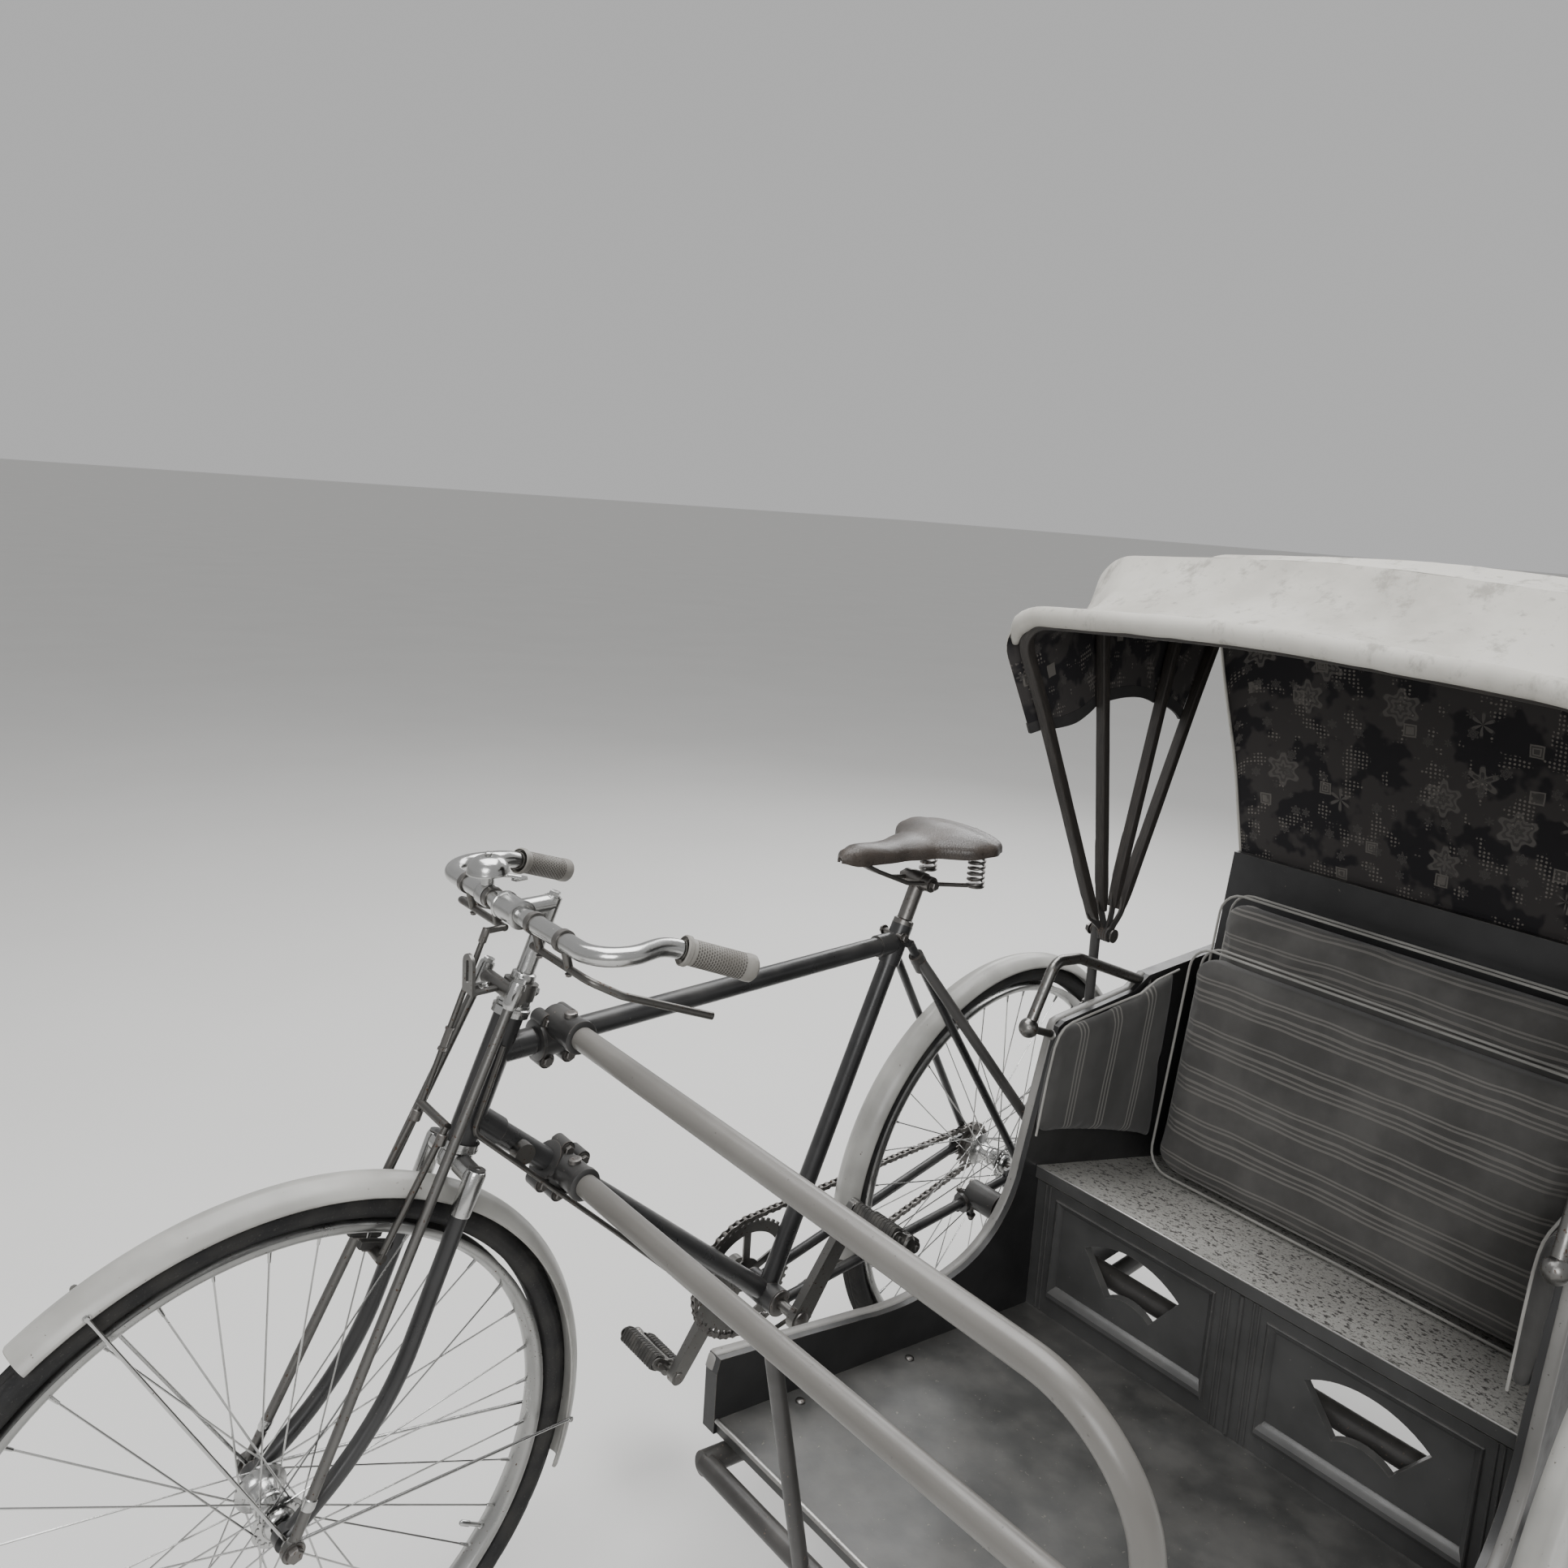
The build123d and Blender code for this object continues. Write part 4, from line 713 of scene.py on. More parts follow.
def link_plate(links, a, b, side_a, side_b):
    """waisted plate between two pins; its ends may stand at two depths"""
    run = (b - a).normalized()
    rise = run.cross(Vector((0, 1, 0)))
    outline = []
    for middle, start, off in ((a, 90, side_a), (b, -90, side_b)):
        for k in range(7):
            t = radians(start + 180 * k / 6)
            outline.append(middle + (run * cos(t) + rise * sin(t)) * plate_end + Vector((0, off, 0)))
        lift = -plate_waist if middle is a else plate_waist
        outline.append(a.lerp(b, 0.5) + rise * lift + Vector((0, (side_a + side_b) / 2, 0)))
    links.plate(outline, (0, plate_depth, 0))


pins = chain_route()
links = Shape()
for k, pin in enumerate(pins):
    after = pins[(k + 1) % len(pins)]
    depth_a = inner_link if k % 2 else outer_link
    depth_b = depth_a if k < len(pins) - 1 else inner_link + outer_link - depth_a
    link_plate(links, pin, after, depth_a, depth_b)
    link_plate(links, pin, after, -depth_a - plate_depth, -depth_b - plate_depth)
    links.turned([(-2.4, 3.9), (2.4, 3.9)], pin, steps=10)
    links.turned([(-5.4, 1.8), (5.4, 1.8)], pin, steps=8)
links.piece("chain_links", "vehicle", oily_steel, slot="steel", stands_for="chain")

# Cranks and chain ring: forged steel arms held by cotter pins, the ring on
# five spokes; the CAD piece stays and gets worn plating.
crank_plate = plated("crank_plate", (0.22, 0.216, 0.206), 0.28, 0.07)
dress(crank_plate, "crankset")
crank_angle = radians(-54)
crank_length = 170.0
ring_bolt_circle = 73
cotters = Shape()
for side, a in ((-1, crank_angle), (1, crank_angle + pi)):
    across_crank = Vector((-sin(a), 0, cos(a)))
    boss = Vector((bracket[0], side * 76, bracket[2])) + Vector((cos(a), 0, sin(a))) * 9
    cotters.tube([boss - across_crank * 21, boss + across_crank * 19], 4.3, 14)
    cotters.bolt(boss + across_crank * 16.5, across_crank, 5.2)
    cotters.turned([(0, 13), (2, 12.4), (4.5, 9), (5.5, 0)], (bracket[0], side * 83, bracket[2]),
                   (0, side, 0), 32)
    end = wheel_point(bracket, a, crank_length, side * 69)
    cotters.turned([(0, 8), (1.5, 7.4), (1.5, 4)], end, (0, -side, 0), 24)
for k in range(5):
    a = crank_angle + 2 * pi * k / 5
    cotters.bolt(wheel_point(bracket, a, ring_bolt_circle, chain_line - 1.6), (0, -1, 0), 3.8)
cotters.piece("crank_cotters", "crank_body", oily_steel, slot="steel")

# Pedals: two ribbed rubber blocks between pressed steel end plates, on a barrel
# that turns on the spindle and ends in a domed dust cap.
pedal_tilt = radians(38.0)
pedal_length = 92.0
pedal_inside = 95.0
block_off = 23.5
rib_count = 13
rib_step = 6.4


def block_finish():
    """worn black rubber"""
    finish = new_finish("block_rubber", Specular_IOR_Level=0.35)
    where = object_place(finish)
    worn = edge_wear(finish, 0.0015, 0.3)
    dusty = step_up(finish, cloud(finish, where, 50), 0.4, 0.75)
    tone = mixed(finish, dusty, (0.022, 0.021, 0.020, 1), (0.07, 0.066, 0.06, 1))
    tone = mixed(finish, worn, tone, (0.13, 0.125, 0.115, 1))
    wire(finish, Base_Color=tone, Roughness=step_up(finish, dusty, 0, 1, 0.5, 0.8),
         Normal=relief(finish, cloud(finish, where, 350), 0.0002))
    return finish


block_rubber = block_finish()


def pedal(name, side, body):
    """one pedal at its tilt"""
    a = crank_angle if side < 0 else crank_angle + pi
    middle = wheel_point(bracket, a, crank_length, 0)
    flat = Vector((cos(pedal_tilt), 0, sin(pedal_tilt)))
    upright = Vector((-sin(pedal_tilt), 0, cos(pedal_tilt)))

    def at(along, up, out):
        return middle + flat * along + upright * up + Vector((0, side * (pedal_inside + out), 0))

    blocks = Shape()
    rounded = [(11.5, 6), (10.5, 9.5), (7.5, 11.8), (0, 12.4), (-7.5, 11.8), (-10.5, 9.5), (-11.5, 6)]
    ring = rounded + [(x, -z) for x, z in reversed(rounded)]
    for end in (-1, 1):
        rows = []
        for rib in range(rib_count):
            start = 4.5 + rib * rib_step
            for shift, size in ((0, 0.88), (1.0, 0.9), (1.6, 1.0), (4.6, 1.0), (5.2, 0.9)):
                rows.append([at(end * block_off + x * size, z * size, start + shift) for x, z in ring])
        blocks.loft(rows)
    blocks.piece(name + "_rubbers", body, block_rubber, slot="rubber", stands_for=name)
    metal = Shape()
    for out in (1.0, pedal_length - 3.0):
        outline = []
        for cx, start in ((24, -90), (-24, 90)):
            for k in range(9):
                t = radians(start + 180 * k / 8)
                outline.append(at(cx + 11 * cos(t), 9 * sin(t), out))
        metal.plate(outline, (0, side * 2.0, 0))
        for end in (-1, 1):
            metal.bolt(at(end * block_off, 0, out + (2.0 if out > 9 else 0.0)),
                       (0, side if out > 9 else -side, 0), 4.0)
    metal.turned([(2, 12.5), (5, 12.5), (9, 9.5), (pedal_length / 2, 8.6), (pedal_length - 10, 9.5),
                  (pedal_length - 4, 12), (pedal_length + 3, 12), (pedal_length + 6, 9),
                  (pedal_length + 7, 0)],
                 middle + Vector((0, side * pedal_inside, 0)), (0, side, 0), 36)
    metal.piece(name + "_plates", body, crank_plate, slot="chrome")


pedal("pedal_left", 1, "left_pedal_body")
pedal("pedal_right", -1, "right_pedal_body")

# Saddle: thick leather moulded over a steel frame and riveted along its back and
# nose, on a plated post with a clip and two coil springs.
saddle_clip_along = 652.6
saddle_rise = 62
saddle_pin = Vector(bracket) + seat_run * saddle_clip_along
saddle_base = saddle_pin.z + saddle_rise
saddle_back = -118
spring_turns = 5
spring_steps = 16
spring_radius = 12.5


def through(stops, x):
    """smooth value between (place, value) stops"""
    for (x0, v0), (x1, v1) in zip(stops, stops[1:]):
        if x <= x1:
            share = min(max((x - x0) / (x1 - x0), 0), 1)
            return v0 + (v1 - v0) * share * share * (3 - 2 * share)
    return stops[-1][1]


def leather_finish():
    """old polished leather with fine cracks"""
    finish = new_finish("saddle_leather", Coat_Weight=0.2, Coat_Roughness=0.35)
    where = object_place(finish)
    polish = step_up(finish, cloud(finish, where, 14, 6), 0.35, 0.7)
    tone = mixed(finish, polish, (0.026, 0.020, 0.016, 1), (0.060, 0.046, 0.036, 1))
    cracks = shader_node(finish, "TexVoronoi", {"Vector": where, "Scale": 260.0}, "Distance",
                         feature="DISTANCE_TO_EDGE")
    lines = step_up(finish, cracks, 0.0, 0.08)
    tone = mixed(finish, lines, (0.018, 0.012, 0.009, 1), tone)
    wire(finish, Base_Color=tone, Roughness=step_up(finish, polish, 0, 1, 0.32, 0.55),
         Normal=relief(finish, lines, 0.0003))
    return finish


width_stops = ((saddle_back, 26), (-106, 66), (-88, 88), (-66, 96), (-40, 90), (20, 43), (70, 29),
               (140, 21), (160, 15), (172, 3))
ridge_stops = ((saddle_back, 4), (-92, 15), (-55, 20), (20, 12), (80, 9), (140, 14), (160, 10), (172, 0))
hem_stops = ((saddle_back, -3), (-70, -8), (0, -13), (80, -13), (150, -12), (172, -7))
saddle = Shape()
rows = []
for k in range(59):
    x = saddle_back + 5 * k
    half = through(width_stops, x)
    ridge = through(ridge_stops, x)
    low = through(hem_stops, x)
    row = []
    for j in range(33):
        a = radians(-90 + 180 * j / 32)
        row.append(Vector((saddle_pin.x + x, half * sin(a),
                           saddle_base + low + (ridge - low) * cos(a) ** 0.55)))
    rows.append(row)
saddle.sheet(rows, 4.0)
saddle.piece("saddle_leather", "vehicle", leather_finish(), sharp=60, slot="leather",
             stands_for="saddle_top")
saddle_metal = Shape()
for side in (-1, 1):
    foot = saddle_pin + Vector((-75, side * 52, -8))
    coil = []
    for k in range(spring_turns * spring_steps + 1):
        a = 2 * pi * k / spring_steps
        rise = 4 + 44 * k / (spring_turns * spring_steps)
        coil.append(foot + Vector((spring_radius * cos(a), spring_radius * sin(a), rise)))
    saddle_metal.tube(coil, 2.3, 8)
    saddle_metal.turned([(0, 15), (3, 15.5), (4, 9)], foot, (0, 0, 1), 28)
    saddle_metal.turned([(50, 9), (51, 15.5), (55, 15)], foot, (0, 0, 1), 28)
    rail = ((128, 6, -15), (100, 10, -30), (45, 18, -54), (0, 22, -62), (-40, 36, -66), (-75, 52, -69))
    saddle_metal.tube([(saddle_pin.x + x, side * y, saddle_base + z) for x, y, z in rail], 3.6, 12)
    saddle_metal.bolt(saddle_pin + Vector((0, side * 31, 0)), (0, side, 0), 7.5)
    for x, y, z in ((-106, 42, 6), (-111, 16, 8)):
        saddle_metal.turned([(0, 5.2), (1.2, 4.9), (2.4, 2.8), (2.6, 0)],
                            (saddle_pin.x + x, side * y, saddle_base + z), (-0.7, side * 0.2, 0.7), 16)
saddle_metal.tube([(saddle_pin.x - 75 - 24 * cos(radians(t)), 74 * sin(radians(t)), saddle_base - 9)
                   for t in range(-80, 81, 16)], 4.0, 12)
saddle_metal.turned([(-30, 9), (-29, 12.5), (-14, 12.5), (-13, 14.5), (13, 14.5), (14, 12.5), (29, 12.5),
                     (30, 9)], saddle_pin, steps=32)
saddle_metal.tube([saddle_pin - seat_run * 72, saddle_pin - seat_run * 3], 12.3, 32)
saddle_metal.turned([(-76, 14.4), (-74, 16.4), (-66, 16.4), (-64, 13)], saddle_pin, seat_run, 32)
saddle_metal.piece("saddle_springs", "vehicle", oily_steel, slot="steel", stands_for="saddle_frame")

# Fork and headset: the enamelled fork with a plated crown sleeve, headset rings,
# and thin brace tubes that run from a forged yoke at the top down to the axle.
dress(frame_enamel, "fork")
truss_metal = plated("truss_metal", (0.20, 0.196, 0.188), 0.34, 0.08)
dress(truss_metal, "truss_fork", "lamp_bracket")
fork_rings = Shape()
for profile, steps in (
        ([(-98, 15), (-97, 19.2), (-94, 20.6), (-86, 20.4), (-80, 18.8), (-79, 15)], 44),
        ([(-78.6, 16), (-78, 21.6), (-76.8, 22.9), (-74, 22.9)], 44),
        ([(91, 22.9), (94.4, 22.7), (95.6, 20.6), (99, 20.6), (99.6, 18)], 44),
        ([(99.6, 19.4), (105.2, 19.4)], 8)):
    fork_rings.turned(profile, by_head(0), head_up, steps)
fork_rings.turned([(-46, 10), (-46, 11.4), (46, 11.4), (46, 10)], by_head(-89.4), (0, 1, 0), 36)
blade_spread = 52
truss_top_spread = 39
truss_foot_spread = 74
for side in (-1, 1):
    fork_rings.turned([(-3.4, 0.6), (-2.6, 7), (-0.4, 10.8), (3, 12), (48, 12), (50.6, 11.4), (51.4, 9.8)],
                      by_head(-82, 0, side * blade_spread), -head_up, 36)
    top = by_head(130, 28, side * truss_top_spread)
    down = (Vector((front_hub[0] + 2, side * truss_foot_spread, front_hub[2])) - top).normalized()
    fork_rings.turned([(-1, 6.2), (0, 9.4), (24, 9.2), (27, 8.2), (30, 6.2)], top, down, 28)
    fork_rings.bolt(top, -down, 7.0)
    fork_rings.turned([(0, 6.2), (1, 7.2), (9, 7.2), (12, 6.2)], top + down * 560, down, 24)
fork_rings.bolt(by_head(116, -20.5), -head_out, 6.0)
fork_rings.bolt(by_head(116, 35.2) + Vector((12, 0, 0)), (0, 0, 1), 4.5)
fork_rings.piece("headset_rings", "steering", chrome_plate, slot="chrome")

# Handlebar: plated tube with an expander stem, its middle held in a split lug;
# pale ribbed grips, and a domed bell on a band.
stem_reach = 49.1
bar_middle = by_head(222) + Vector((stem_reach, 0, 0))
grip_start = Vector((850, 188, bar_middle.z))
grip_run = (Vector((746, 214, bar_middle.z - 41)) - grip_start).normalized()
dress(chrome_plate, "handlebar")
bar_fittings = Shape()
bar_fittings.bolt(by_head(230.2), head_up, 7.0)
bar_fittings.turned([(125.5, 11.2), (126, 14.6), (130, 15.2), (135, 14.6), (137, 11.2)], by_head(0),
                    head_up, 36)
for side in (-1, 1):
    bar_fittings.turned([(18, 15.8), (19, 17.2), (22.6, 17.2), (23.4, 15), (24, 11.2)], bar_middle,
                        (0, side, 0), 36)
bar_fittings.bolt(bar_middle + Vector((-4, 0, -15.6)), (0, 0, -1), 6.0)
bar_fittings.piece("bar_fittings", "steering", chrome_plate, slot="chrome")


def grip_finish(name, light, dark):
    """hard pale plastic, greasy from hands"""
    finish = new_finish(name, Specular_IOR_Level=0.4)
    where = object_place(finish)
    grease = step_up(finish, cloud(finish, where, 30, 5), 0.35, 0.7)
    tone = mixed(finish, grease, light, dark)
    wire(finish, Base_Color=tone, Roughness=step_up(finish, grease, 0, 1, 0.42, 0.6),
         Normal=relief(finish, cloud(finish, where, 500), 0.00012))
    return finish


grip_plastic = grip_finish("grip_plastic", (0.25, 0.24, 0.22, 1), (0.165, 0.155, 0.14, 1))
# A near-black copy of the grip plastic for the pressed dashes: painted shade in their recesses.
grip_recess_shade = grip_finish("grip_recess_shade", (0.055, 0.050, 0.044, 1), (0.085, 0.078, 0.068, 1))
grip_length = 98.0
flange_end = 8.0
field_start = 12.0
field_end = 78.0
dash_step = 3.3
dash_count = 24
dash_depth = 0.7
grip_rows = 120
grip_sides = 96


def grip_radius(along):
    """radius of the grip without its pattern"""
    if along < flange_end:
        return through(((0, 15.8), (1.5, 17.6), (6.5, 17.6), (flange_end, 15.2)), along)
    return through(((flange_end, 15.2), (field_end, 15.6), (86, 16.3), (92, 16.0), (96, 13.0),
                    (grip_length, 4.0)), along)


grips = Shape()
for side in (-1, 1):
    foot = Vector((grip_start.x, side * grip_start.y, grip_start.z))
    run = Vector((grip_run.x, side * grip_run.y, grip_run.z))
    foot += run * 22
    normal = run.cross(Vector((0, 0, 1))).normalized()
    upright = run.cross(normal)
    rows = []
    pressed = []
    for k in range(grip_rows + 1):
        along = grip_length * k / grip_rows
        row = []
        marks = []
        for j in range(grip_sides):
            turn = 2 * pi * j / grip_sides
            dash = (field_start < along < field_end and (along / dash_step) % 1 < 0.5
                    and (j * dash_count / grip_sides + (int(along / dash_step) % 2) * 0.5) % 1 < 0.6)
            reach = grip_radius(along) - (dash_depth if dash else 0.0)
            row.append(foot + run * along + (normal * cos(turn) + upright * sin(turn)) * reach)
            marks.append(1 if dash else 0)
        rows.append(row)
        pressed.append(marks)
    first_face = len(grips.faces)
    grips.grid(rows, False, True)
    # Faces in the pressed dashes take the second finish, the painted recess shade.
    for index in range(first_face, len(grips.faces)):
        grips.slots[index] = pressed[(index - first_face) // grip_sides][(index - first_face) % grip_sides]
    grips.cap(rows[-1])
    grips.cap([foot + (normal * cos(2 * pi * j / 32) + upright * sin(2 * pi * j / 32)) * 11.4
               for j in range(32)])
grips.piece("bar_grips", "steering", grip_plastic, grip_recess_shade, slot="grip_plastic", stands_for="grips")

bell_side = -66
bell_base = Vector((bar_middle.x, bell_side, bar_middle.z))
bell_shape = Shape()
bell_shape.turned([(-9, 11.2), (-9, 13.6), (-8, 14.2), (8, 14.2), (9, 13.6), (9, 11.2)], bell_base,
                  steps=36)
bell_shape.turned([(13, 8), (22, 8), (24, 12), (25, 17.5), (27, 17.5)], bell_base, (0, 0, 1), 40)
dome = [(27.0, 22.6), (27.0, 25.0), (28.5, 25.4), (30.0, 25.0)]
dome += [(30 + 19.5 * sin(radians(t)), 24.6 * cos(radians(t)) ** 0.8) for t in range(6, 85, 6)]
bell_shape.turned(dome + [(49.8, 4.6), (52.4, 4.4), (53.4, 2.6), (53.6, 0)], bell_base, (0, 0, 1), 64)
bell_lever = ((-15, 6, 23), (-27, 9, 21), (-36, 12, 18))
thumb_plate = ((-43, 5, 16), (-28, 5, 16), (-25, 11, 16), (-28, 18, 16), (-43, 18, 16), (-46, 11, 16))
bell_shape.tube([bell_base + Vector(p) for p in bell_lever], [2.4, 2.2, 3.4], 10)
bell_shape.plate([bell_base + Vector(p) for p in thumb_plate], (0, 0, 2.2))
bell_shape.piece("bell_dome", "steering", chrome_plate, sharp=50, slot="chrome", stands_for="bell")

# Rod brakes: plated levers under the bar, a pull rod to the stirrup with two
# rubber shoes inside the front rim, and a rod with its crank under the frame.
brake_metal = plated("brake_metal", (0.155, 0.15, 0.142), 0.34, 0.09)
dress(brake_metal, "front_brake", "rear_brake")
front_shoes = Shape()
brake_nuts = Shape()
stirrup_out = 66.0
shoe_up = -184.0
shoe_side = 15
shoe_half = 19
lever_collars = (52, 118)
pull_guide_up = -41
for side in (-1, 1):
    rows = []
    for k in range(9):
        along = shoe_half * (k / 4 - 1)
        size = 0.82 if k in (0, 8) else 1.0
        lift = shoe_up - along * along / 700
        rows.append([by_head(lift + u * size, stirrup_out + along, side * (shoe_side + v * size))
                     for u, v in rounded_square(5.2, 1.6, 2)])
    front_shoes.loft(rows)
    brake_nuts.plate([by_head(shoe_up - 6, stirrup_out + out, side * y)
                      for out, y in ((-15, 20), (15, 20), (15, 9), (-15, 9))], head_up * 1.6)
    brake_nuts.bolt(by_head(shoe_up - 6.5, stirrup_out, side * shoe_side), -head_up, 4.2)
    brake_nuts.turned([(0, 5.8), (1, 6.6), (12, 6.6), (13, 5.8)], by_head(pull_guide_up - 8, 47, side * 34),
                      -head_up, 20)
    for place in lever_collars:
        brake_nuts.turned([(-4, 11.3), (-4, 13.2), (4, 13.2), (4, 11.3)],
                          bar_middle + Vector((0, side * place, 0)), (0, 1, 0), 28, closed=True)
        brake_nuts.bolt(bar_middle + Vector((-8, side * place, -39.5)), (0, 0, -1), 3.6)
front_shoes.piece("front_brake_shoes", "steering", block_rubber, slot="rubber")
pull_top = bar_middle + Vector((14, -36, -31))
pull_foot = by_head(pull_guide_up, 47, -32)
pull_run = (pull_foot - pull_top).normalized()
brake_nuts.turned([(0, 5.5), (3, 5.5), (3, 4.4), (24, 4.4), (24, 5.5), (28, 5.5)],
                  pull_top + pull_run * 120, pull_run, 6)
brake_nuts.turned([(0, 5), (16, 5), (18, 3.6)], pull_top, pull_run, 16)
brake_nuts.piece("brake_nuts", "steering", oily_steel, slot="steel")

# Clamps: two-piece iron castings round the top tube and the down tube, drawn up
# by four bolts each; the side tubes seat in their sockets.
cast_iron = enamel("cast_iron", (0.019, 0.0185, 0.018), (0.13, 0.10, 0.08), 0.05, 0.08, 0.36)
dress(cast_iron, "frame_clamps", "stay_clamp")
upper_clamp = Vector((877.0, 0, 815.0))
lower_clamp = Vector((864.0, 0, 635.6))
down_slope = Vector((0.737, 0, 0.676))
lobe_shift = 15
lobe_rise = 24.3
lobe_half = 13
greaser_rise = 18.2
clamp_bolts = Shape()
clamp_lips = Shape()
for middle, along, tube_rise in ((upper_clamp, Vector((1, 0, 0)), 21.0), (lower_clamp, down_slope, 7.4)):
    above = Vector((-along.z, 0, along.x))
    for shift in (-lobe_shift, lobe_shift):
        for rise in (-lobe_rise, lobe_rise):
            lobe = middle + along * shift + above * rise
            for side in (-1, 1):
                clamp_bolts.bolt(lobe + Vector((0, side * lobe_half, 0)), (0, side, 0), 6.4)
    for end in (-1, 1):
        clamp_lips.turned([(20, 23.4), (21, 25.2), (25, 25.0), (26, 22.5), (26.4, 14.6)], middle,
                          along * end, 40)
    tube_z = middle.z + tube_rise
    clamp_lips.turned([(58, 19.2), (59, 20.6), (66, 20.4), (67.4, 18.6), (68, 14.3)],
                      (middle.x, 0, tube_z), (0, 1, 0), 40)
    greaser = (middle.x, 40, tube_z + greaser_rise)
    clamp_bolts.turned([(0, 5.6), (0, 8.4), (4.6, 8.0), (5.4, 6.6), (5.4, 4.0)], greaser, (0, 0, 1), 24)
    clamp_bolts.turned([(0, 3.8), (4.4, 3.4)], greaser, (0, 0, 1), 6)
clamp_bolts.piece("clamp_bolts", "vehicle", oily_steel, slot="steel")
clamp_lips.piece("clamp_lips", "vehicle", cast_iron, slot="iron")

# Side tubes: two steel tubes from the clamps across the front of the sidecar, pale enamel that is chipped
# near the clamps and turns darker grey further out.
tube_enamel = enamel("tube_enamel", (0.44, 0.432, 0.405), (0.085, 0.075, 0.065), 0.065, 0.08, 0.28)
tube_place = object_place(tube_enamel)
across_tube = shader_node(tube_enamel, "SeparateXYZ", {0: tube_place}, "Y")
shade = sum_of(tube_enamel, across_tube,
               step_up(tube_enamel, cloud(tube_enamel, tube_place, 6), 0, 1, -0.06, 0.06))
# the tone turns darker grey from 110 mm to 420 mm out along the tube
greyer = step_up(tube_enamel, shade, spot(0, 110, 0).y, spot(0, 420, 0).y, 0.0, 0.9)
plain_tone = tube_enamel.node_tree.nodes["Principled BSDF"].inputs["Base Color"].links[0].from_socket
wire(tube_enamel, Base_Color=mixed(tube_enamel, greyer, plain_tone, (0.125, 0.118, 0.108, 1)))
dress(tube_enamel, "upper_side_tube", "lower_side_tube")

# Chassis: rails, cross tubes, axle tube, brace and the outer rail round the side
# wheel, dark enamel over rusted steel, with bolted bands on the chain stay.
chassis_enamel = enamel("chassis_enamel", (0.036, 0.034, 0.032), (0.13, 0.09, 0.065), 0.08, 0.10, 0.36)
dress(chassis_enamel, "chassis", "outer_rail", "axle_tube", "seat_brace")
chassis_bolts = Shape()
stay_start = Vector((495.0, 31.0, 311.0))
stay_end = Vector((16.0, 64.0, 355.0))
stay_run = (stay_end - stay_start).normalized()
stay_middle = stay_end - stay_run * 99
floor_slope = 0.18
for shift in (-15, 15):
    band = stay_middle + stay_run * shift
    for side in (-1, 1):
        chassis_bolts.bolt(band + Vector((0, side * 15, -17)), (0, 0, -1), 6.2)
        chassis_bolts.bolt(band + Vector((0, side * 15, 12)), (0, 0, 1), 5.0)
for y, turn, size in ((1091.6, 1, 9.0), (1064.4, -1, 8.4)):
    chassis_bolts.bolt((side_hub[0], y, side_hub[2]), (0, turn, 0), size)
for x, y in ((102, 275), (128, 275), (102, 875), (128, 875)):
    chassis_bolts.bolt((x, y, 372), (0, 0, 1), 5.0)
for x, z in ((108, 497), (108, 519), (126, 497), (126, 519)):
    chassis_bolts.bolt((x, 190, z), (0, -1, 0), 5.0)
for y in (246, 904):
    for x in (250, 450, 650):
        chassis_bolts.turned([(0, 6.6), (1.4, 6.2), (2.8, 3.6), (3.0, 0)],
                             (x, y, 270.4 + (x - 164) * floor_slope), (-0.177, 0, 0.984), 18)
chassis_bolts.piece("chassis_bolts", "vehicle", oily_steel, slot="steel")

# Sidecar body: painted boards, dark on the sides and a lighter grey on the seat
# box and the floor, with pale worn strips on the side boards' edges.
panel_enamel = enamel("panel_enamel", (0.018, 0.018, 0.0185), (0.12, 0.105, 0.09), 0.03, 0.06, 0.34)
seat_enamel = enamel("seat_enamel", (0.060, 0.060, 0.059), (0.16, 0.15, 0.14), 0.03, 0.10, 0.36)
floor_enamel = enamel("floor_enamel", (0.052, 0.052, 0.050), (0.15, 0.14, 0.12), 0.07, 0.10, 0.40)
strip_enamel = enamel("strip_enamel", (0.20, 0.195, 0.185), (0.05, 0.045, 0.04), 0.08, 0.1, 0.36)
dress(panel_enamel, "right_panel", "left_panel", "back_board")
dress(floor_enamel, "floor_board")
cabin_right = 225.0
cabin_left = 925.0
cabin_middle = 575.0
board_depth = 22.0


def arc_through(a, b, c, steps):
    """points on the circle through three (x, z) points, the first left out"""
    ax, az, bx, bz, cx, cz = *a, *b, *c
    turn = 2 * (ax * (bz - cz) + bx * (cz - az) + cx * (az - bz))
    mx = ((ax * ax + az * az) * (bz - cz) + (bx * bx + bz * bz) * (cz - az)
          + (cx * cx + cz * cz) * (az - bz)) / turn
    mz = ((ax * ax + az * az) * (cx - bx) + (bx * bx + bz * bz) * (ax - cx)
          + (cx * cx + cz * cz) * (bx - ax)) / turn
    start = atan2(az - mz, ax - mx)
    end = atan2(cz - mz, cx - mx)
    if end - start > pi:
        end -= 2 * pi
    if start - end > pi:
        end += 2 * pi
    radius = hypot(ax - mx, az - mz)
    return [(mx + radius * cos(start + (end - start) * k / steps),
             mz + radius * sin(start + (end - start) * k / steps))
            for k in range(1, steps + 1)]


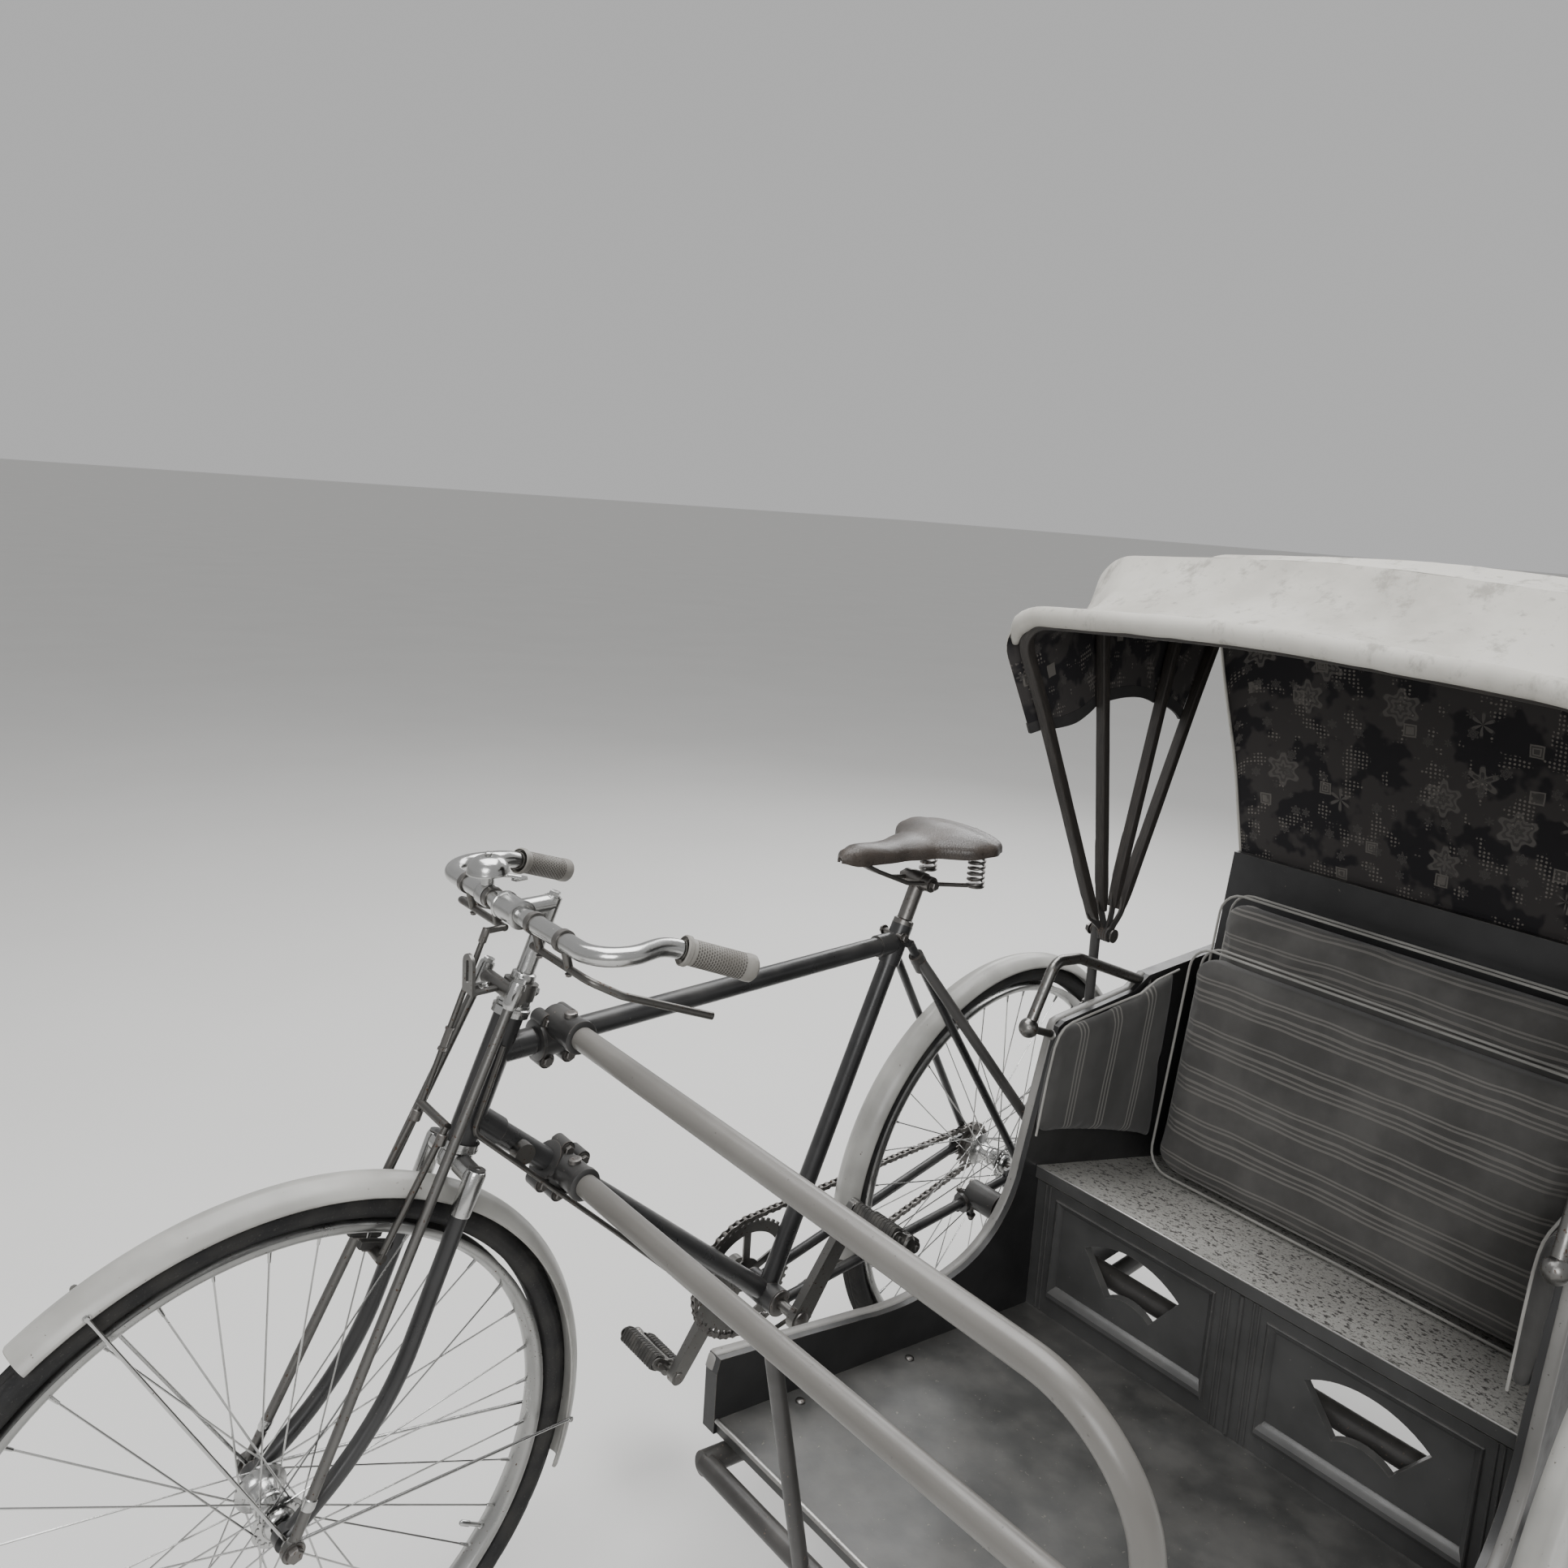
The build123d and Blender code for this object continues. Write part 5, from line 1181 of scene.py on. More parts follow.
board_edge = [(-88, 752), (-48, 734), (134, 728), (146, 726), (151, 718), (203, 520)]
board_edge += arc_through((203, 520), (248, 432), (330, 391), 14)
board_edge += arc_through((330, 391), (425, 386), (520, 402), 12)
board_edge += [(640, 429), (762, 457.5), (766, 454), (770, 441)]
strip_section = ((-2.2, 0.1), (-1.0, 1.4), (3, 2.2), (8, 2.2), (10.8, 1.4), (11.7, 0.1), (11.7, -5),
                 (11.1, -5), (11.1, -0.3), (-2.0, -0.3))
edge_strips = Shape()
for near, outward in ((cabin_right - board_depth, -1), (cabin_left, 1)):
    rows = []
    for k, (x, z) in enumerate(board_edge):
        before = board_edge[max(k - 1, 0)]
        after = board_edge[min(k + 1, len(board_edge) - 1)]
        run = Vector((after[0] - before[0], 0, after[1] - before[1])).normalized()
        out = Vector((-run.z, 0, run.x))
        middle = Vector((x, near + board_depth / 2, z))
        rows.append([middle + out * lift + Vector((0, outward * y, 0)) for y, lift in strip_section])
    edge_strips.loft(rows)
edge_strips.piece("edge_strips", "vehicle", strip_enamel, sharp=50, slot="body_paint")

# Seat box front: a board with two sunk fields, a fan-shaped opening sawn through
# each, and mitred mouldings nailed round them, the lower rails rounded and proud.
seat_face = 164.0
field_low = 298.0
field_high = 462.0
field_half = 137.0
fan_middle_z = 302.0
fan_radii = (62.0, 135.0)
fan_half_angle = radians(37)
field_middles = (cabin_middle - 175, cabin_middle + 175)
field_floor = seat_face - 5


def sawn_through(board, cutters):
    """cuts shapes out of a board"""
    bpy.context.view_layer.objects.active = board
    for cutter in cutters:
        saw = board.modifiers.new("saw", "BOOLEAN")
        saw.object = cutter
        saw.solver = "EXACT"
        bpy.ops.object.modifier_apply(modifier=saw.name)
        bpy.data.objects.remove(cutter)
    board.data.polygons.foreach_set("use_smooth", [False] * len(board.data.polygons))


def upright_block(name, body, low, high):
    """block between its low rear right and its high front left corner"""
    block = Shape()
    corners = ((low[1], low[2]), (high[1], low[2]), (high[1], high[2]), (low[1], high[2]))
    block.plate([(low[0], y, z) for y, z in corners], (high[0] - low[0], 0, 0))
    return block.piece(name, body, seat_enamel)


low, high = [(Vector(corner) - ground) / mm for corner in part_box("seat_front")]
seat_front = upright_block("seat_front_board", "vehicle", low, high)
cutters = []
for middle_y in field_middles:
    cutters.append(upright_block("field_cutter", None, (field_floor, middle_y - field_half, field_low),
                                 (field_floor + 20, middle_y + field_half, field_high)))
    fan = Shape()
    outline = []
    for radius, order in ((fan_radii[1], 1), (fan_radii[0], -1)):
        for k in range(15):
            a = order * fan_half_angle * (1 - k / 7)
            outline.append((140, middle_y + radius * sin(a), fan_middle_z + radius * cos(a)))
    fan.plate(outline, (40, 0, 0))
    cutters.append(fan.piece("fan_cutter", None, seat_enamel))
sawn_through(seat_front, cutters)
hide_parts("seat_front")
mouldings = Shape()
ogee = [(0, 0), (0, 6.4), (1.6, 7.2), (3.4, 6.2), (4.6, 4.6), (7.2, 4.0), (9.6, 2.8), (11, 1.2), (11.6, 0)]
lower_rail = [(0, 0), (0, 6.4), (2.4, 10.5), (8, 12.8), (14, 11.6), (18.5, 7.8), (20.5, 4.4), (22.6, 2.0),
              (23.4, 0)]
for middle_y in field_middles:
    rows = []
    for across, up, section in ((-1, 1, ogee), (1, 1, ogee), (1, -1, lower_rail), (-1, -1, lower_rail)):
        edge = field_high if up > 0 else field_low
        rows.append([Vector((field_floor + lift, middle_y + across * (field_half - side_inset),
                             edge - up * inset))
                     for (inset, lift), (side_inset, _) in zip(section, ogee)])
    mouldings.grid(rows, True, False)
for y in (243, 251, 549, 557, cabin_middle, 593, 601, 899, 907):
    mouldings.tube([(seat_face + 0.2, y, 274), (seat_face + 0.2, y, 478)],
                   3.4 if y == cabin_middle else 1.8, 12)
mouldings.piece("seat_mouldings", "vehicle", seat_enamel, sharp=28, slot="body_paint")
trims = Shape()
for x, z, radius, sides in ((170.6, 503.4, 1.6, 10), (767, 378.5, 3.0, 12)):
    trims.tube([(x, cabin_right + 1, z), (x, cabin_left - 1, z)], radius, sides)
board_edging = Shape()
board_edging.plate([(x, cabin_right + 0.5, z) for x, z in ((170.1, 484.6), (171.6, 484.6), (171.6, 502.4),
                                                           (170.1, 502.4))], (0, 699, 0))
board_edging.piece("seat_board_edging", "vehicle", seat_enamel, slot="body_paint")
trims.piece("seat_edge_trim", "vehicle", plated("edge_metal", (0.55, 0.54, 0.52), 0.34, 0.06), slot="steel")
back_frame = Shape()
back_lean = Vector((-0.1736, 0, 0.9848))
back_foot = Vector((-236.6, 0, 390))
back_square = Vector((-0.9848, 0, -0.1736))
cross_bar_depth = 7.2


def on_back(y, up, out=0.0):
    """place on the back board's rear face"""
    return back_foot + back_lean * up + back_square * out + Vector((0, y, 0))


for near, far, low, high, depth in ((235, 285, 0, 530, 7), (865, 915, 0, 530, 7), (557, 593, 50, 490, 7),
                                    (285, 865, 0, 50, cross_bar_depth),
                                    (285, 865, 480, 530, cross_bar_depth)):
    corners = ((near, low), (far, low), (far, high), (near, high))
    back_frame.plate([on_back(y, up) for y, up in corners], back_square * depth)
for y in (260, cabin_middle, 890):
    for up in (25, 505):
        back_frame.turned([(0, 6), (1.6, 5.6), (2.8, 3.4), (3.0, 0)], on_back(y, up, cross_bar_depth),
                          back_square, 18)
back_frame.piece("back_frame", "vehicle", panel_enamel, sharp=28, slot="body_paint")

# Seat board: pale laminate with dark flecks of two sizes, mottled and duller
# where it is worn; the CAD piece stays.
speckled = new_finish("speckled_board", Coat_Weight=0.2, Coat_Roughness=0.2)
board_place = object_place(speckled)
fleck_noise = cloud(speckled, board_place, 125, 5, 0.65)
flecks = step_up(speckled, fleck_noise, 0.54, 0.60)
fine = step_up(speckled, cloud(speckled, board_place, 330, 4), 0.56, 0.66, 0, 0.7)
board_tone = mixed(speckled, step_up(speckled, cloud(speckled, board_place, 8), 0.3, 0.7),
                   (0.56, 0.55, 0.515, 1), (0.46, 0.45, 0.42, 1))
board_tone = mixed(speckled, sum_of(speckled, flecks, fine), board_tone, (0.105, 0.10, 0.095, 1))
wire(speckled, Base_Color=board_tone, Roughness=step_up(speckled, fleck_noise, 0.3, 0.7, 0.28, 0.5))
dress(speckled, "seat_board")

# Cushions: the back cushion, and the seat cushion stood up against it, in dark
# cloth with woven stripes and a pale piped edge; sewn pads line both arms.
seat_fall = 0.2962
cushion_lean = Vector((-0.1736, 0, 0.9848))
cushion_square = Vector((0.9848, 0, 0.1736))


def striped_cloth(name, direction, pitch, first, lines, base, stripe):
    """dark woven cloth; groups of thin light lines lie square to the direction"""
    finish = new_finish(name, Roughness=0.88, Specular_IOR_Level=0.22, Sheen_Weight=0.15)
    where = object_place(finish)
    run = shader_node(finish, "VectorMath", {0: where, 1: direction}, "Value", operation="DOT_PRODUCT")
    wave = step_up(finish, cloud(finish, where, 5, 2), 0, 1, -0.006, 0.006)
    start = (spot(*first) - Vector()).dot(Vector(direction))
    for value, operation in ((wave, "ADD"), (start, "SUBTRACT"), (pitch, "DIVIDE"), (0, "FRACT")):
        run = shader_node(finish, "Math", {0: run, 1: value}, operation=operation)
    light = None
    for place, half in lines:
        line = shader_node(finish, "Math", {0: run, 1: place, 2: half}, operation="COMPARE")
        light = line if light is None else sum_of(finish, light, line)
    weave = cloud(finish, where, 1300, 2)
    faded = step_up(finish, cloud(finish, where, 9, 5), 0.3, 0.75)
    tone = mixed(finish, faded, tuple(base) + (1,), tuple(c * 1.7 for c in base) + (1,))
    tone = mixed(finish, sum_of(finish, light, step_up(finish, weave, 0.2, 0.8, 0.45, 0.9), "MULTIPLY"),
                 tone, tuple(stripe) + (1,))
    wire(finish, Base_Color=tone, Normal=relief(finish, weave, 0.0005, 0.8))
    return finish


arm_cloth = striped_cloth("arm_cloth", (0.985, 0.0, 0.17), 0.088, (150, 0, 700),
                          ((0.50, 0.020), (0.60, 0.020), (0.70, 0.020)), (0.050, 0.049, 0.047),
                          (0.26, 0.25, 0.23))
seat_cloth = striped_cloth("seat_cloth", (-0.1736, 0.0, 0.9848), 0.072, (-62, 0, 434),
                           ((0.20, 0.025), (0.30, 0.02), (0.42, 0.03), (0.62, 0.02), (0.70, 0.02)),
                           (0.070, 0.068, 0.065), (0.21, 0.20, 0.185))
piping_cloth = striped_cloth("piping_cloth", (0.0, 1.0, 0.0), 0.5, (0, 0, 0), ((0.5, 0.001),),
                             (0.24, 0.235, 0.22), (0.24, 0.235, 0.22))


voxel = 0.006
cloth_frames = 20


def swollen(piece, cap, pressure):
    """pad filled by Blender's cloth: remeshed, blown up, held near its shape, then smoothed"""
    scene = bpy.context.scene
    bpy.context.view_layer.objects.active = piece
    remesh = piece.modifiers.new("remesh", "REMESH")
    remesh.mode = "VOXEL"
    remesh.voxel_size = voxel
    bpy.ops.object.modifier_apply(modifier=remesh.name)
    start = [v.co.copy() for v in piece.data.vertices]
    cloth = piece.modifiers.new("cloth", "CLOTH")
    cloth.settings.use_pressure = True
    cloth.settings.uniform_pressure_force = pressure
    cloth.settings.effector_weights.gravity = 0
    cloth.settings.tension_stiffness = 12
    cloth.settings.compression_stiffness = 12
    cloth.settings.bending_stiffness = 3
    cloth.settings.quality = 5
    for step in range(1, cloth_frames + 1):
        scene.frame_set(step)
    bpy.ops.object.modifier_apply(modifier=cloth.name)
    scene.frame_set(1)
    for vertex, place in zip(piece.data.vertices, start):
        move = vertex.co - place
        if move.length > cap:
            vertex.co = place + move.normalized() * cap
    finer = piece.modifiers.new("finer", "SUBSURF")
    finer.levels = 1
    bpy.ops.object.modifier_apply(modifier=finer.name)
    piece.data.polygons.foreach_set("use_smooth", [True] * len(piece.data.polygons))


def filled_pad(name, outline, inward, finish, cap, pressure, node):
    """pad between an outline and its copy, its corners rounded, then filled"""
    pad = Shape()
    middle = sum(outline, Vector()) / len(outline) + inward / 2
    depth = inward.length
    rows = []
    for share, shrink in ((0.0, 9), (0.06, 4), (0.2, 0.8), (0.5, 0), (0.8, 0.8), (0.94, 4), (1.0, 9)):
        row = []
        for point in outline:
            place = point + inward * share
            flat = middle + inward * (share - 0.5)
            row.append(place + (flat - place).normalized() * shrink * depth / 60)
        rows.append(row)
    pad.loft(rows)
    made = pad.piece(name, None, finish, sharp=70)
    swollen(made, cap, pressure)
    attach(made, "vehicle")
    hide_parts(node)


def rounded_outline(origin, side, up, width, height, radius, steps=5):
    """rectangle with rounded corners in a plane"""
    ring = []
    for cx, cy, start in ((width - radius, height - radius, 0), (radius, height - radius, 90),
                          (radius, radius, 180), (width - radius, radius, 270)):
        for k in range(steps + 1):
            a = radians(start + 90 * k / steps)
            ring.append(origin + side * (cx + radius * cos(a)) + up * (cy + radius * sin(a)))
    return ring


def on_board(x):
    """height of the seat board's top, which falls to the rear"""
    return 503.3 - (170 - x) * seat_fall


across_y = Vector((0, 1, 0))
cushion_width = 620
cushion_start = 265
cushion_rows = (
    ("seat_cushion", -62.0, 64.0, 385.0, 9.0),
    ("back_cushion", -127.6, 60.0, 480.0, 7.0),
)
piping = Shape()
for name, front_x, depth, height, margin in cushion_rows:
    origin = Vector((front_x, cushion_start, on_board(front_x))) + cushion_lean * margin
    origin = origin - cushion_square * margin + across_y * margin
    if name == "back_cushion":
        origin += cushion_lean * 2
    outline = rounded_outline(origin, across_y, cushion_lean, cushion_width - 2 * margin,
                              height - 2 * margin, 34)
    filled_pad(name + "_pad", outline, -cushion_square * (depth - 2 * margin), seat_cloth, 0.011, 4.0, name)
    for inward in (0.10, 0.90):
        corner = origin - cushion_square * (depth - 2 * margin) * inward - across_y * 5 - cushion_lean * 5
        ring = rounded_outline(corner, across_y, cushion_lean, cushion_width + 10 - 2 * margin,
                               height + 10 - 2 * margin, 36)
        piping.tube(ring, 2.1, 8, wrap=True)

arm_outline = [(203, 575), (190, 655), (179, 703), (170, 720), (158, 730), (139, 734), (60, 736),
               (-41, 737), (-85, 750), (-146, 752), (-120, 458), (40, 515), (190, 564)]
for side, face in ((-1, cabin_right + 18), (1, cabin_left - 18)):
    outline = [Vector((x, face, z)) for x, z in arm_outline]
    middle = sum(outline, Vector()) / len(outline)
    filled_pad("arm_pad_right" if side < 0 else "arm_pad_left",
               [p + (middle - p).normalized() * 5 for p in outline],
               Vector((0, side * 14, 0)), arm_cloth, 0.006, 2.0, "arm_pads")
    edge = [Vector((x, face + side * 1.0, z)) for x, z in [(204, 570)] + arm_outline[:9] + [(-150, 754)]]
    piping.tube(edge, 1.8, 8)
piping.piece("cushion_piping", "vehicle", piping_cloth, slot="cushion_cloth")

# Arm rails and hood posts: bent plated tubes with ball ends, and iron posts
# bolted to the side boards that carry the hood's pins.
hood_pin = Vector((30.0, 575.0, 843.0))
iron_finish = enamel("iron_finish", (0.030, 0.029, 0.028), (0.16, 0.12, 0.09), 0.06, 0.2, 0.38)
rail_plate = plated("rail_plate", (0.24, 0.235, 0.225), 0.30, 0.10)
dress(rail_plate, "arm_rails")
dress(iron_finish, "hood_posts")
post_metal = Shape()
rail_metal = Shape()
for side, rail_y, post_y in ((-1, cabin_right - board_depth / 2, 191.0),
                             (1, cabin_left + board_depth / 2, 959.0)):
    for z in (658, 718):
        post_metal.bolt((hood_pin.x - 3, post_y + side * 7, z), (0, side, 0), 5.6)
        post_metal.bolt((hood_pin.x + 11, post_y + side * 3.6, z), (0, side, 0), 3.8)
    post_metal.bolt((hood_pin.x, post_y + side * 9, hood_pin.z), (0, side, 0), 7.6)
    post_metal.turned([(0, 6.2), (0, 11), (2, 11), (2.6, 9), (2.6, 6.2)],
                      (hood_pin.x, post_y - side * 33.5, hood_pin.z), (0, -side, 0), 28)
    post_metal.turned([(0, 8), (3, 7.4), (6, 5), (7.4, 0)], (hood_pin.x, post_y, hood_pin.z + 7.6),
                      (0, 0, 1), 28)
    rail_metal.turned([(-14, 6.2), (-13, 8.6), (-7, 9.2), (-5, 6.2)], (160, rail_y, 711), (50, 0, 22), 24)
    rail_metal.turned([(0, 13), (2, 13.2), (4, 12), (7, 9.6), (8, 8.6)], (-90, rail_y, 737),
                      (-0.9, 0, -0.4), 28)
post_metal.piece("post_nuts", "vehicle", oily_steel, slot="steel")
rail_metal.piece("rail_collars", "vehicle", rail_plate, slot="chrome")

# Hood bows: four bent wooden arches with rounded edges, their ends let into
# flat irons that turn on the pins of the posts.
half_span = 365.5
bow_half = 8.0
iron_length = 170.0
iron_depth = 3.2
iron_rivets = (112, 135, 158)
bow_rows = (
    ("bow_1", "hood_first", -29.7, 578.0, 0),
    ("bow_2", "hood_second", -10.5, 590.0, 1),
    ("bow_3", "hood_rear", 13.2, 605.0, 2),
    ("bow_4", "hood_rear", 26.3, 615.0, 3),
)
foot_stands_off = (16.0, 9.0, 0.0, -14.0)


def wood_finish():
    """dark oiled wood with its grain along the bow"""
    finish = new_finish("bow_wood", Coat_Weight=0.1, Coat_Roughness=0.4)
    run = shader_node(finish, "TexCoord", {}, "UV")
    grain = cloud(finish, run, 9, 6, 0.6, (3.0, 60.0, 1.0))
    streaks = cloud(finish, run, 30, 4, 0.6, (2.0, 90.0, 1.0))
    tone = mixed(finish, step_up(finish, grain, 0.3, 0.7), (0.012, 0.010, 0.009, 1),
                 (0.036, 0.030, 0.025, 1))
    worn = edge_wear(finish, 0.002, 0.35)
    tone = mixed(finish, sum_of(finish, worn, grain, "MULTIPLY"), tone, (0.13, 0.11, 0.09, 1))
    wire(finish, Base_Color=tone, Roughness=step_up(finish, streaks, 0.2, 0.8, 0.42, 0.68),
         Normal=relief(finish, streaks, 0.0005))
    return finish


bow_wood = wood_finish()


def bow_frame(angle):
    """directions away from the pins and square to the bow's plane"""
    a = radians(angle)
    return Vector((-sin(a), 0, cos(a))), Vector((cos(a), 0, sin(a)))


def arch(half, low, top, corner, crown=18.0):
    """arch from its right foot to its left foot: (across, out) pairs"""
    def roof(across):
        soft = 120.0
        return top + crown * (1 - (hypot(across, soft) - soft) / (hypot(half, soft) - soft))

    tilt = radians(3.7)
    shoulder = roof(half - corner + corner * sin(tilt)) - corner * cos(tilt)
    run = [(-half, low + (shoulder - low) * k / 10) for k in range(10)]
    for k in range(11):
        a = pi - (pi / 2 - tilt) * k / 10
        run.append((-half + corner + corner * cos(a), shoulder + corner * sin(a)))
    edge = run[-1][0]
    run += [(edge - 2 * edge * k / 28, roof(edge - 2 * edge * k / 28)) for k in range(1, 15)]
    return run + [(-across, out) for across, out in reversed(run[:-1])]


def stands_off(layer, out):
    """how far a leg's line passes beside the pin"""
    return foot_stands_off[layer] * min(max((out - 12) / 36, 0), 1) * min(max(1 - (out - 48) / 380, 0), 1)


def bow(name, body, angle, length, layer):
    """one wooden arch with its two irons"""
    away, square = bow_frame(angle)
    wood = Shape()
    line = arch(half_span, 84.0, length, 62.0)
    tips = [(-half_span, out) for out in (44, 46, 56, 70)]
    line = tips + line + [(-across, out) for across, out in reversed(tips)]
    rows = []
    for k, (across, out) in enumerate(line):
        before = line[max(k - 1, 0)]
        after = line[min(k + 1, len(line) - 1)]
        run = (away * (after[1] - before[1]) + Vector((0, after[0] - before[0], 0))).normalized()
        inward = run.cross(square)
        middle = hood_pin + away * out + Vector((0, across, 0)) + square * stands_off(layer, out)
        from_tip = min(k, len(line) - 1 - k)
        size = (0.30, 0.42, 0.66, 0.90)[from_tip] if from_tip < 4 else 1.0
        nick = 1 - 0.10 * max(0, noise.noise(Vector((out * 0.031, across * 0.004, layer * 3.7))))
        rows.append([middle + inward * u + square * v * size * nick
                     for u, v in rounded_square(bow_half, 2.2)])
    wood.loft(rows)
    wood.piece(name + "_wood", body, bow_wood, slot="bow_wood", stands_for=name)
    irons = Shape()
    for side in (-1, 1):
        foot = half_span + bow_half + 0.5 - layer * 4.6
        on_wood = half_span + bow_half + 0.3
        strap = []
        for k in range(18):
            out = 8 + (iron_length - 8) * k / 17
            share = min(max((out - 30) / 62, 0), 1)
            y = foot + (on_wood - foot) * share * share * (3 - 2 * share)
            width = 6.2 if out < 90 else 7.4
            if k > 15:
                width *= 0.93 if k == 16 else 0.6
            middle = hood_pin + away * out + Vector((0, side * y, 0)) + square * stands_off(layer, out)
            depth = Vector((0, side * -iron_depth, 0))
            strap.append([middle + square * width, middle - square * width, middle - square * width + depth,
                          middle + square * width + depth])
        irons.loft(strap)
        irons.turned([(0, 6.6), (0, 12.2), (3.8, 12.2), (3.8, 6.6)],
                     hood_pin + Vector((0, side * foot, 0)), (0, -side, 0), 32, closed=True)
        for out in iron_rivets:
            irons.turned([(0, 4.2), (1.0, 3.9), (1.9, 2.4), (2.1, 0)],
                         hood_pin + away * out + Vector((0, side * on_wood, 0))
                         + square * stands_off(layer, out), (0, side, 0), 16)
    irons.piece(name + "_irons", body, iron_finish, slot="iron")


for row in bow_rows:
    bow(*row)

# Hood cloth: pale weathered canvas outside, a dark cotton print inside, stretched
# over the bows, sagging between them, with a rolled front edge and a dark hem.
canvas_lift = 5.0
canvas_depth = 2.4
hem_out = (395.0, 378.0, 375.0, 372.0)
hem_depth = 16.0


def canvas_finish():
    """pale coarse canvas, stained in the folds"""
    finish = new_finish("outer_canvas", Roughness=0.88, Specular_IOR_Level=0.2)
    where = object_place(finish)
    stains = step_up(finish, cloud(finish, where, 4.5, 6, 0.62), 0.42, 0.72)
    specks = step_up(finish, cloud(finish, where, 70, 4), 0.64, 0.74, 0.0, 0.6)
    weave = cloud(finish, where, 900, 2)
    creases = cloud(finish, where, 26, 7, 0.7, (1.0, 1.0, 0.5))
    fold_dirt = step_up(finish, creases, 0.53, 0.68, 0.0, 0.7)
    tone = mixed(finish, stains, (0.52, 0.505, 0.465, 1), (0.40, 0.385, 0.35, 1))
    tone = mixed(finish, sum_of(finish, specks, fold_dirt, "MAXIMUM"), tone, (0.25, 0.24, 0.215, 1))
    height = sum_of(finish, step_up(finish, creases, 0.2, 0.8, 0, 7), weave)
    wire(finish, Base_Color=tone, Normal=relief(finish, height, 0.0006, 0.8))
    return finish


petal_count = 6.0


def print_cell(finish, place, scale, metric):
    """distance from the middle, random tone and middle of the motifs of one layer"""
    distance = shader_node(finish, "TexVoronoi", {"Vector": place, "Scale": scale, "Randomness": 0.75},
                           "Distance", distance=metric)
    return distance, distance.node.outputs["Color"], distance.node.outputs["Position"]


def print_finish():
    """dark cotton with a generic print: round flowers, small squares and rings of dots"""
    finish = new_finish("printed_lining", Roughness=0.82, Specular_IOR_Level=0.2)
    run = shader_node(finish, "TexCoord", {}, "UV")
    shake = shader_node(finish, "VectorMath", {0: cloud(finish, run, 40, 2), 3: 0.004}, 0, operation="SCALE")
    wobble = shader_node(finish, "VectorMath", {0: run, 1: shake}, 0, operation="ADD")
    tone = (0.020, 0.019, 0.021, 1)
    patch = step_up(finish, cloud(finish, run, 11, 3), 0.46, 0.52)
    tone = mixed(finish, patch, tone, (0.050, 0.046, 0.045, 1))
    for scale, metric, low, high, colour in ((13.0, "EUCLIDEAN", 0.34, 0.37, (0.105, 0.098, 0.092, 1)),
                                             (19.0, "CHEBYCHEV", 0.19, 0.21, (0.135, 0.126, 0.115, 1)),
                                             (31.0, "EUCLIDEAN", 0.24, 0.27, (0.075, 0.070, 0.067, 1))):
        distance, cell_tone, centre = print_cell(finish, wobble, scale, metric)
        if metric == "EUCLIDEAN":
            arm = shader_node(finish, "VectorMath", {0: wobble, 1: centre}, 0, operation="SUBTRACT")
            arm = shader_node(finish, "SeparateXYZ", {0: arm})
            angle = shader_node(finish, "Math", {0: arm.node.outputs["Y"], 1: arm}, operation="ARCTAN2")
            petal = shader_node(finish, "Math", {0: angle, 1: petal_count}, operation="MULTIPLY")
            petal = shader_node(finish, "Math", {0: petal}, operation="COSINE")
            distance = sum_of(finish, distance, step_up(finish, petal, -1, 1, 1.25, 0.85), "MULTIPLY")
        chosen = step_up(finish, shader_node(finish, "SeparateColor", {"Color": cell_tone}, "Red"), 0.30,
                         0.32)
        shape = step_up(finish, distance, high, low)
        ring = shader_node(finish, "Math", {0: distance, 1: 5.5 * pi / high}, operation="MULTIPLY")
        ring = shader_node(finish, "Math", {0: ring}, operation="SINE")
        cut = step_up(finish, ring, -0.3, 0.1, 0.35, 1.0)
        inked = sum_of(finish, sum_of(finish, chosen, shape, "MULTIPLY"), cut, "MULTIPLY")
        tone = mixed(finish, inked, tone, colour)
    dots = shader_node(finish, "TexVoronoi", {"Vector": run, "Scale": 150.0, "Randomness": 0.1}, "Distance")
    dotted = sum_of(finish, step_up(finish, dots, 0.32, 0.24),
                    step_up(finish, cloud(finish, run, 23), 0.56, 0.6), "MULTIPLY")
    tone = mixed(finish, dotted, tone, (0.17, 0.155, 0.14, 1))
    weave = cloud(finish, object_place(finish), 1100, 2)
    wire(finish, Base_Color=tone, Normal=relief(finish, weave, 0.0003, 0.6))
    return finish


def hem_finish():
    """dark cotton tape"""
    finish = new_finish("hem_tape", Roughness=0.85)
    where = object_place(finish)
    tone = mixed(finish, cloud(finish, where, 30), (0.014, 0.014, 0.015, 1), (0.035, 0.033, 0.032, 1))
    wire(finish, Base_Color=tone, Normal=relief(finish, cloud(finish, where, 900, 2), 0.0003))
    return finish


outer_canvas = canvas_finish()
printed_lining = print_finish()
hem_tape = hem_finish()


def canvas_line(index):
    """line that the cloth takes over one bow, as points"""
    _, _, angle, length, _ = bow_rows[index]
    away, _ = bow_frame(angle)
    reach = bow_half + canvas_lift
    line = arch(half_span + reach, hem_out[index], length + reach, 72.0)
    return [hood_pin + away * out + Vector((0, across, 0)) for across, out in line]


def puckers(place, seed):
    """small uneven pull of the cloth, in millimetres"""
    broad = noise.noise(Vector((place.x * 0.011 + seed, place.y * 0.024, place.z * 0.016)))
    fine = noise.noise(Vector((place.x * 0.03 + seed, place.y * 0.075, place.z * 0.05)))
    return broad * 3.4 + fine * 1.3


corner_at = 16
corner_sag = 22.0
panel_steps = 22
lap_forward = 15


